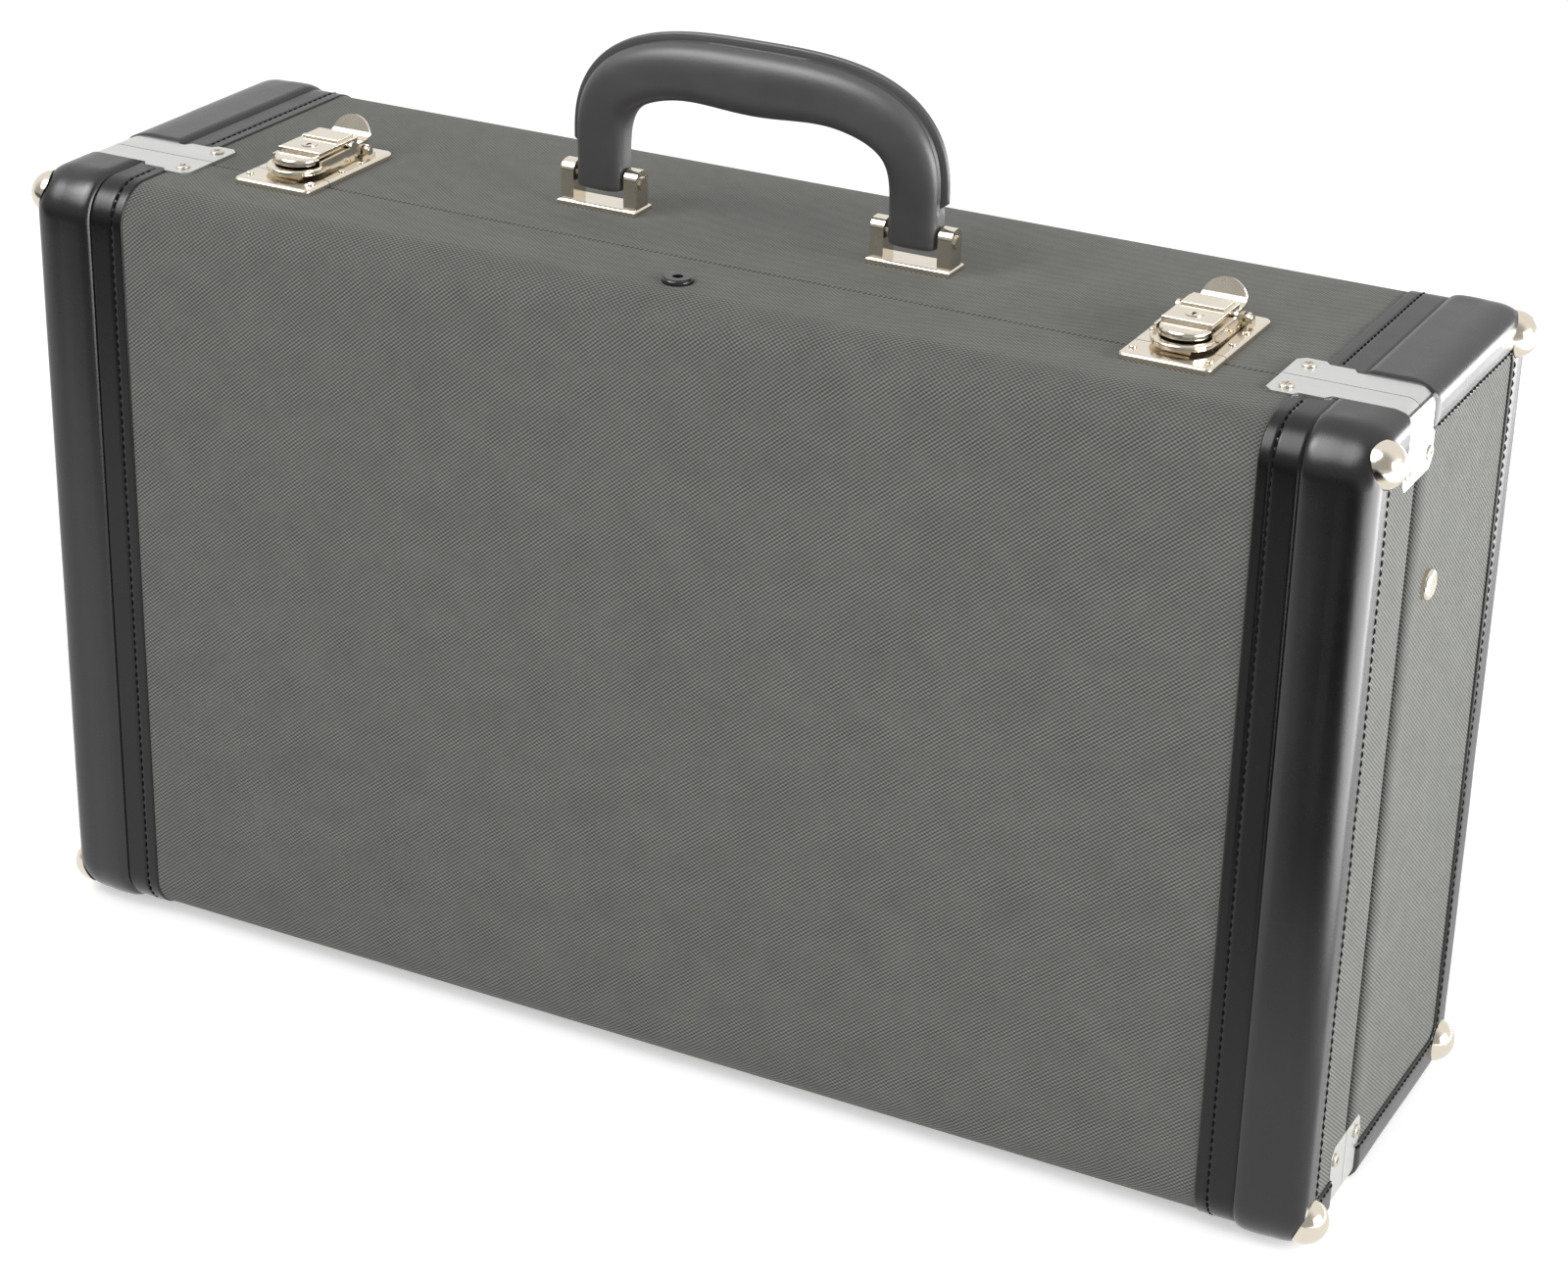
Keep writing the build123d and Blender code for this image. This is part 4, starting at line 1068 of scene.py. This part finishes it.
def make_welt():
    line = [place for place in handle_line() if place[3] > WELT_START_RISE]
    first = line[0][0]
    last = line[-1][0]
    vertices = []
    for away, x, z, rise, out_x, out_z in line:
        half = grip_width(rise) / 2
        share = smooth_step((min(away - first, last - away) + 0.1 * WELT_TAPER) / WELT_TAPER)
        outer = half + WELT_HEIGHT * math.sqrt(share)
        inner = half - WELT_ROOT
        section = [
            (inner, -1.0), (outer - WELT_EDGE, -1.0), (outer - 0.3 * WELT_EDGE, -0.75), (outer, -0.3),
            (outer, 0.3), (outer - 0.3 * WELT_EDGE, 0.75), (outer - WELT_EDGE, 1.0), (inner, 1.0),
        ]
        for u, share_v in section:
            vertices.append((x + out_x * u, WELT_HALF * share_v, z + out_z * u))
    add_piece(
        "handle_welt", vertices, loft_faces(len(line), 8), "handle", "handle", (), sharp=50,
    )


# Inside the case: foam under plush, open towards the lid

CUT_ABOVE = 0.012
BED_VOXEL = 0.0028
BED_INSET = 0.3 * MM
BED_BACK_STEPS = 8
BED_SMOOTHING = 4
BED_BACK_RADIUS = 0.0098
BED_CORNER = 0.009
BED_FOOT = 0.006

# Each trumpet's recess: margins from the middle between the two, from the insert's outer
# side, and from its back to the recess's floor
RECESS_END_GAP = 0.006
BELL_LENGTH = 0.176
VALVE_FROM_BELL = 0.300
VALVE_LENGTH = 0.092
BELL_MARGINS = (0.024, 0.0148, 0.0065)
THROAT_MARGINS = (0.058, 0.0488, 0.0423)
TUBING_MARGINS = (0.011, 0.0418, 0.0443)
VALVE_MARGINS = (-0.005, 0.0258, 0.0203)

TRAY_WALL = 0.004
TRAY_DIVIDER = 0.118
TRAY_CORNER = 0.004
TRAY_ROUNDING = 0.0013
SOCKET_RADIUS = 0.0135
SOCKET_DEPTH = 0.062
SOCKET_SPACING = 0.033
SOCKET_ROUNDING = 0.0022


def rectangle(x_low, x_high, z_low, z_high):
    return [(x_low, z_low), (x_high, z_low), (x_high, z_high), (x_low, z_high)]


def rounded_outline(corners, radius, drawn_in=0.0, steps=6):
    """A convex outline drawn in by an amount, with round corners."""
    pairs = list(zip(corners, corners[1:] + corners[:1]))
    turn = 1 if sum(ax * bz - bx * az for (ax, az), (bx, bz) in pairs) > 0 else -1
    sides = []
    for (ax, az), (bx, bz) in pairs:
        length = math.hypot(bx - ax, bz - az)
        inward_x = -turn * (bz - az) / length
        inward_z = turn * (bx - ax) / length
        sides.append((inward_x, inward_z, inward_x * ax + inward_z * az + drawn_in + radius))
    points = []
    for (a, b, c), (d, e, f) in zip(sides[-1:] + sides[:-1], sides):
        scale = a * e - b * d
        centre_x = (c * e - b * f) / scale
        centre_z = (a * f - c * d) / scale
        first = math.atan2(-b, -a)
        sweep = (math.atan2(-e, -d) - first + math.pi) % (2 * math.pi) - math.pi
        for k in range(steps + 1):
            angle = first + sweep * k / steps
            points.append((centre_x + radius * math.cos(angle), centre_z + radius * math.sin(angle)))
    return points


def recess_cutter(corners, front, floor_of, radius, foot):
    """A hollow from above the front down to its floor, with round corners and a rounded foot."""
    vertices = []
    rows = ((0.0, None), (0.0, foot), (0.3 * foot, 0.3 * foot), (foot, 0.0))
    for drawn_in, above in rows:
        ring = rounded_outline(corners, radius - drawn_in / 2, drawn_in / 2)
        for x, z in ring:
            y = front - CUT_ABOVE if above is None else floor_of(x) - above
            vertices.append((x, y, z))
    return solid("recess", vertices, loft_faces(len(rows), len(ring)))


def trumpet_recess(low, high, way):
    """The bell, tubing and valve hollows of one trumpet. Way 1 is the upper one, bell at the left."""
    bell = low.x + RECESS_END_GAP if way > 0 else high.x - RECESS_END_GAP
    length = high.x - low.x - 2 * RECESS_END_GAP
    half = MIDDLE_Z - low.z
    valve = VALVE_FROM_BELL - VALVE_LENGTH / 2
    stretches = (
        (0.0, BELL_LENGTH, BELL_MARGINS, THROAT_MARGINS),
        (BELL_LENGTH - BED_CORNER, length, TUBING_MARGINS, TUBING_MARGINS),
        (valve, valve + VALVE_LENGTH, VALVE_MARGINS, VALVE_MARGINS),
    )
    cutters = []
    for start, stop, first, last in stretches:
        corners = [
            (bell + way * start, MIDDLE_Z + way * first[0]),
            (bell + way * stop, MIDDLE_Z + way * last[0]),
            (bell + way * stop, MIDDLE_Z + way * (half - last[1])),
            (bell + way * start, MIDDLE_Z + way * (half - first[1])),
        ]

        def floor_of(x, start=start, stop=stop, first=first, last=last):
            share = (way * (x - bell) - start) / (stop - start)
            return high.y - first[2] - (last[2] - first[2]) * share

        cutters.append(recess_cutter(corners, low.y, floor_of, BED_CORNER, BED_FOOT))
    return cutters


def make_trumpet_bed():
    low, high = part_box("instrument_insert")
    front = low.y + BED_INSET
    outline = [(front, low.z + BED_INSET), (front, high.z - BED_INSET)]
    for k in range(BED_BACK_STEPS + 1):
        turn = math.pi / 2 * k / BED_BACK_STEPS
        drawn_y = BED_BACK_RADIUS * (1 - math.sin(turn))
        drawn_z = BED_BACK_RADIUS * (1 - math.cos(turn))
        outline.append((high.y - BED_INSET - drawn_y, high.z - BED_INSET - drawn_z))
    outline += [(y, 2 * MIDDLE_Z - z) for y, z in reversed(outline[2:])]
    vertices = [(x, y, z) for x in (low.x + BED_INSET, high.x - BED_INSET) for y, z in outline]
    bed = solid("bed", vertices, loft_faces(2, len(outline)))
    cut(bed, trumpet_recess(low, high, 1) + trumpet_recess(low, high, -1))
    voxels(bed, BED_VOXEL)
    soften = bed.modifiers.new("soften", "SMOOTH")
    soften.iterations = BED_SMOOTHING
    apply_modifiers(bed)
    take_mesh(bed, "trumpet_bed", "plush", "root", ("instrument_insert",), 180)


def plain_block(low, high):
    """A plain box, to be cut and rounded."""
    vertices = [(x, y, z) for x in (low.x, high.x) for y in (low.y, high.y) for z in (low.z, high.z)]
    faces = [(0, 1, 3, 2), (4, 6, 7, 5), (0, 4, 5, 1), (2, 3, 7, 6), (0, 2, 6, 4), (1, 5, 7, 3)]
    return solid("block", vertices, faces)


def round_edges(piece, width, angle):
    bevel = piece.modifiers.new("round", "BEVEL")
    bevel.width = width
    bevel.segments = 3
    bevel.limit_method = "ANGLE"
    bevel.angle_limit = math.radians(angle)
    apply_modifiers(piece)


def make_tray():
    low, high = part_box("accessory_compartment")
    tray = plain_block(low, high)
    floor = high.y - TRAY_WALL
    for z_low, z_high in ((low.z + TRAY_WALL, TRAY_DIVIDER), (TRAY_DIVIDER + TRAY_WALL, high.z - TRAY_WALL)):
        corners = rectangle(low.x + TRAY_WALL, high.x - TRAY_WALL, z_low, z_high)
        cut(tray, [recess_cutter(corners, low.y, lambda x: floor, TRAY_CORNER, TRAY_CORNER / 2)])
    round_edges(tray, TRAY_ROUNDING, 60)
    take_mesh(tray, "accessory_tray", "plush", "root", ("accessory_compartment",), 40)


def make_mouthpiece_rest():
    low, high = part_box("mouthpiece_block")
    rest = plain_block(low, high)
    centre_x = (low.x + high.x) / 2
    centre_z = (low.z + high.z) / 2
    half = (SOCKET_DEPTH + CUT_ABOVE) / 2
    for step in (-1, 0, 1):
        place = (centre_x, low.y + SOCKET_DEPTH - half, centre_z + step * SOCKET_SPACING)
        cut(rest, [rod(place, "y", SOCKET_RADIUS, half)])
    round_edges(rest, SOCKET_ROUNDING, 60)
    take_mesh(rest, "mouthpiece_rest", "plush", "root", ("mouthpiece_block",), 40)


LINING_INSET = 0.0082
LINING_THICKNESS = {BODY: 0.0015, LID: 0.0010}
LINING_COLUMNS = 13


def make_lining(side):
    """The plush skin inside one half of the case: a thin open tray with round long edges."""
    places = stations(side, *LINING_STEPS)
    vertices = []
    for inset in (LINING_INSET, LINING_INSET + LINING_THICKNESS[side]):
        for station in places:
            away, z = rim_point(station, inset)[:2]
            for x in np.linspace(inset - HALF_LENGTH, HALF_LENGTH - inset, LINING_COLUMNS):
                vertices.append((x, side * away, z))
    faces = []
    rows = len(places)
    for base in (0, rows * LINING_COLUMNS):
        for i in range(rows - 1):
            for j in range(LINING_COLUMNS - 1):
                k = base + i * LINING_COLUMNS + j
                faces.append((k, k + 1, k + LINING_COLUMNS + 1, k + LINING_COLUMNS))
        for j in (0, LINING_COLUMNS - 1):
            faces.append(tuple(base + i * LINING_COLUMNS + j for i in range(rows)))
    last = (rows - 1) * LINING_COLUMNS
    loop = list(range(LINING_COLUMNS)) + list(range(last + LINING_COLUMNS - 1, last - 1, -1))
    step = rows * LINING_COLUMNS
    for first, second in zip(loop, loop[1:] + loop[:1]):
        faces.append((first, second, step + second, step + first))
    node = SIDE_NAME[side] + "_lining"
    add_piece(node + "_plush", vertices, faces, "plush", BODY_NAME[side], (node,), sharp=35)


CUSHION_VOXEL = 0.006
CUSHION_FRAMES = 20
CUSHION_PRESSURE = 4.0
CUSHION_PUFF = 0.006
CUSHION_ROOM = 0.004
CUSHION_ROUNDING = 0.012

# The cushion's outline before it is puffed: (drawn in, distance from the lid)
CUSHION_ROWS = ((0.004, 0.0), (0.0, 0.003), (0.0, 0.008), (0.0035, 0.0115))


def cloth_puff(piece):
    """Puffs a closed form with a short cloth simulation, with a cap on how far a point moves."""
    before = vertex_places(piece)
    cloth = piece.modifiers.new("cloth", "CLOTH")
    cloth.settings.use_pressure = True
    cloth.settings.uniform_pressure_force = CUSHION_PRESSURE
    cloth.settings.effector_weights.gravity = 0.0
    cloth.point_cache.frame_start = 1
    cloth.point_cache.frame_end = CUSHION_FRAMES
    for number in range(1, CUSHION_FRAMES + 1):
        bpy.context.scene.frame_set(number)
    apply_modifiers(piece)
    bpy.context.scene.frame_set(1)
    moved = vertex_places(piece) - before
    length = np.maximum(np.linalg.norm(moved, axis=1, keepdims=True), 1e-9)
    move_vertices(piece, before + moved * np.minimum(1.0, CUSHION_PUFF / length))


def make_lid_cushion():
    """The lid's pad: a crowned cushion, flat only against the lid."""
    low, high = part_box("lid_pad")
    room = CUSHION_ROOM
    corners = rectangle(low.x + room, high.x - room, low.z + room, high.z - room)
    vertices = []
    for drawn_in, rise in CUSHION_ROWS:
        ring = rounded_outline(corners, CUSHION_ROUNDING, drawn_in)
        vertices += [(x, low.y + rise, z) for x, z in ring]
    cushion = solid("cushion", vertices, loft_faces(len(CUSHION_ROWS), len(ring)))
    voxels(cushion, CUSHION_VOXEL)
    apply_modifiers(cushion)
    cloth_puff(cushion)
    subdivide = cushion.modifiers.new("subdivide", "SUBSURF")
    subdivide.levels = subdivide.render_levels = 1
    apply_modifiers(cushion)
    move_vertices(cushion, np.clip(vertex_places(cushion), low, high))
    take_mesh(cushion, "lid_cushion", "plush", "lid", ("lid_pad",), 180)


def make_inside():
    make_trumpet_bed()
    make_tray()
    make_mouthpiece_rest()
    make_lid_cushion()
    for side in (BODY, LID):
        make_lining(side)


# CAD nodes that keep their shape and get their material

LATCH_PARTS = ("latch_hasp", "latch_lever", "lever_pin", "lock_cylinder")
DRESSED = {
    "nickel": [hand + "_" + part for hand in HAND.values() for part in LATCH_PARTS] + [
        "latch_bases", "latch_catches", "latch_pivots", "latch_base_rivets", "latch_catch_rivets",
        "handle_mounts", "handle_pins", "handle_mount_rivets",
        "body_corner_domes", "lid_corner_domes", "end_rivet",
        "body_hinge_leaves", "lid_hinge_leaves", "hinge_pins", "body_hinge_rivets", "lid_hinge_rivets",
    ],
    "bracket": ["body_brackets", "lid_brackets"],
    "screw": ["body_bracket_screws", "lid_bracket_screws"],
    "rubber": ["lid_stud"],
    "wood": ["body_shell", "lid_shell"],
    "rail": ["closing_rail"],
}


def dress_nodes():
    for material, names in DRESSED.items():
        for name in names:
            mesh = nodes[name].data
            mesh.materials.clear()
            mesh.materials.append(MATERIALS[material])


# Studio

# The floor that gloss reflects is painted reflection: to glossy rays it glows as a white table near the case,
# a dark room in front of it, a dark gap at its right and then a bright glowing strip
TABLE_FRONT = -0.50
ROOM_FRONT = -1.00
ROOM_LEVEL = 0.10
GAP_START = 0.09
GAP_FULL = 0.20
GAP_FRONT = -0.50
GAP_BACK = -0.22
GAP_SHARE = 0.95
GLOW_STRIP_START = 0.54
GLOW_STRIP_FULL = 0.66
GLOW_STRIP_LEVEL = 6.2
CAMERA_LIFT = 0.42
FLOOR_HALF = 12.0


def make_floor():
    half = FLOOR_HALF
    corners = [(-half, -half, 0), (half, -half, 0), (half, half, 0), (-half, half, 0)]
    floor = solid("studio_floor", corners, [(0, 1, 2, 3)])
    shader = Shader("pale_floor")
    color = shader.mix(shader.noise(30.0, 4.0), (0.86, 0.86, 0.86), (0.90, 0.90, 0.90))
    rays = shader.node("ShaderNodeLightPath").outputs
    lift = shader.math("MULTIPLY", rays["Is Camera Ray"], CAMERA_LIFT)
    shader.set(Base_Color=color, Roughness=0.9, Specular_IOR_Level=0.1)
    shader.set(Emission_Color=WHITE, Emission_Strength=lift)
    place = shader.split(shader.place())
    table = shader.span(place["Y"], ROOM_LEVEL, 1.0, ROOM_FRONT, TABLE_FRONT, SMOOTH)
    right = shader.span(place["X"], 0.0, GLOW_STRIP_LEVEL, GLOW_STRIP_START, GLOW_STRIP_FULL, SMOOTH)
    gap = shader.span(place["X"], 0.0, GAP_SHARE, GAP_START, GAP_FULL, SMOOTH)
    ahead = shader.span(place["Y"], 1.0, 0.0, GAP_FRONT, GAP_BACK, SMOOTH)
    gap = shader.math("SUBTRACT", 1.0, shader.math("MULTIPLY", gap, ahead))
    # Painted reflection: glossy rays see this emission in place of the lit floor
    glow = shader.node("ShaderNodeEmission")
    level = shader.math("MULTIPLY", shader.math("ADD", right, gap), table)
    shader.link(level, glow.inputs["Strength"])
    either = shader.node("ShaderNodeMixShader")
    sources = (rays["Is Glossy Ray"], shader.surface.outputs[0], glow.outputs[0])
    for source, target in zip(sources, either.inputs):
        shader.link(source, target)
    shader.link(either.outputs[0], shader.tree.nodes["Material Output"].inputs["Surface"])
    floor.data.materials.append(shader.material)


WORLD_LEVEL = 0.55
FRONT_ROOM_LEVEL = 0.42
BACK_ROOM_LEVEL = 0.95
FRONT_ROOM_END = -0.5
BACK_ROOM_START = 0.1

# A large bright card over the front of the case, which only gloss sees
CARD_DIRECTION = Vector((-0.38, -0.52, 0.76)).normalized()
CARD_OUTER = 0.87
CARD_INNER = 0.96
CARD_LEVEL = 5.0


def make_world():
    """White to the camera; gloss sees a white wall behind the case, a dim room before it and the card."""
    world = bpy.data.worlds.new("studio")
    bpy.context.scene.world = world
    world.use_nodes = True
    sky = Nodes(world.node_tree)
    rays = sky.node("ShaderNodeLightPath").outputs
    direction = sky.place("Generated")
    depth = sky.split(direction)["Y"]
    room = sky.span(depth, FRONT_ROOM_LEVEL, BACK_ROOM_LEVEL, FRONT_ROOM_END, BACK_ROOM_START, SMOOTH)
    towards = sky.node("ShaderNodeVectorMath", operation="DOT_PRODUCT")
    towards.inputs[1].default_value = CARD_DIRECTION
    sky.link(direction, towards.inputs[0])
    card = sky.span(towards.outputs["Value"], 0.0, CARD_LEVEL, CARD_OUTER, CARD_INNER, SMOOTH)
    gloss = sky.math("ADD", room, card)
    level = sky.mix(rays["Is Glossy Ray"], WORLD_LEVEL, gloss, "VALUE")
    level = sky.mix(rays["Is Camera Ray"], level, 1.0, "VALUE")
    background = world.node_tree.nodes["Background"]
    sky.feed(background.inputs["Color"], WHITE)
    sky.link(level, background.inputs["Strength"])


# Each light's place, size and power, and whether gloss shows it
LIGHTS = {
    "right_softbox": ((2.3, -0.2, 0.62), (1.6, 1.2), 55, True),
    "front_fill": ((-0.9, -2.4, 1.5), (2.8, 2.4), 14, False),
    "top_softbox": ((-1.15, -0.95, 2.0), (0.8, 0.8), 11, True),
}


def add_light(name, place, size, power, in_gloss):
    light = bpy.data.lights.new(name, "AREA")
    light.shape = "RECTANGLE"
    light.size = size[0]
    light.size_y = size[1]
    light.energy = power
    lamp = bpy.data.objects.new(name, light)
    lamp.location = place
    towards = Vector((0, 0, MIDDLE_Z)) - Vector(place)
    lamp.rotation_euler = towards.to_track_quat("-Z", "Y").to_euler()
    lamp.visible_glossy = in_gloss
    bpy.context.scene.collection.objects.link(lamp)


CAMERA_AZIMUTH = math.radians(26.984)
CAMERA_ELEVATION = math.radians(24.998)
CAMERA_ROLL = math.radians(1.535)
CAMERA_PLACE = Vector((0.65123, -1.24424, 0.82062))
CAMERA_FOCAL_PIXELS = 3666
FRAME_WIDTH_PIXELS = 1600
SENSOR_WIDTH = 36.0


def make_camera():
    cosine = math.cos(CAMERA_ELEVATION)
    back = Vector((
        math.sin(CAMERA_AZIMUTH) * cosine, -math.cos(CAMERA_AZIMUTH) * cosine, math.sin(CAMERA_ELEVATION)
    ))
    right = Vector((math.cos(CAMERA_AZIMUTH), math.sin(CAMERA_AZIMUTH), 0))
    up = back.cross(right)
    turned_right = right * math.cos(CAMERA_ROLL) + up * math.sin(CAMERA_ROLL)
    turned_up = up * math.cos(CAMERA_ROLL) - right * math.sin(CAMERA_ROLL)
    data = bpy.data.cameras.new("camera")
    data.sensor_fit = "HORIZONTAL"
    data.sensor_width = SENSOR_WIDTH
    data.lens = SENSOR_WIDTH * CAMERA_FOCAL_PIXELS / FRAME_WIDTH_PIXELS
    camera = bpy.data.objects.new("camera", data)
    camera.matrix_world = Matrix.Translation(CAMERA_PLACE) @ Matrix(
        (turned_right, turned_up, back)
    ).transposed().to_4x4()
    bpy.context.scene.collection.objects.link(camera)
    bpy.context.scene.camera = camera


bpy.context.scene.view_settings.view_transform = "Standard"
make_camera()
make_world()
for light_name, settings in LIGHTS.items():
    add_light(light_name, *settings)
make_floor()
make_case()
make_grip()
make_welt()
make_inside()
dress_nodes()
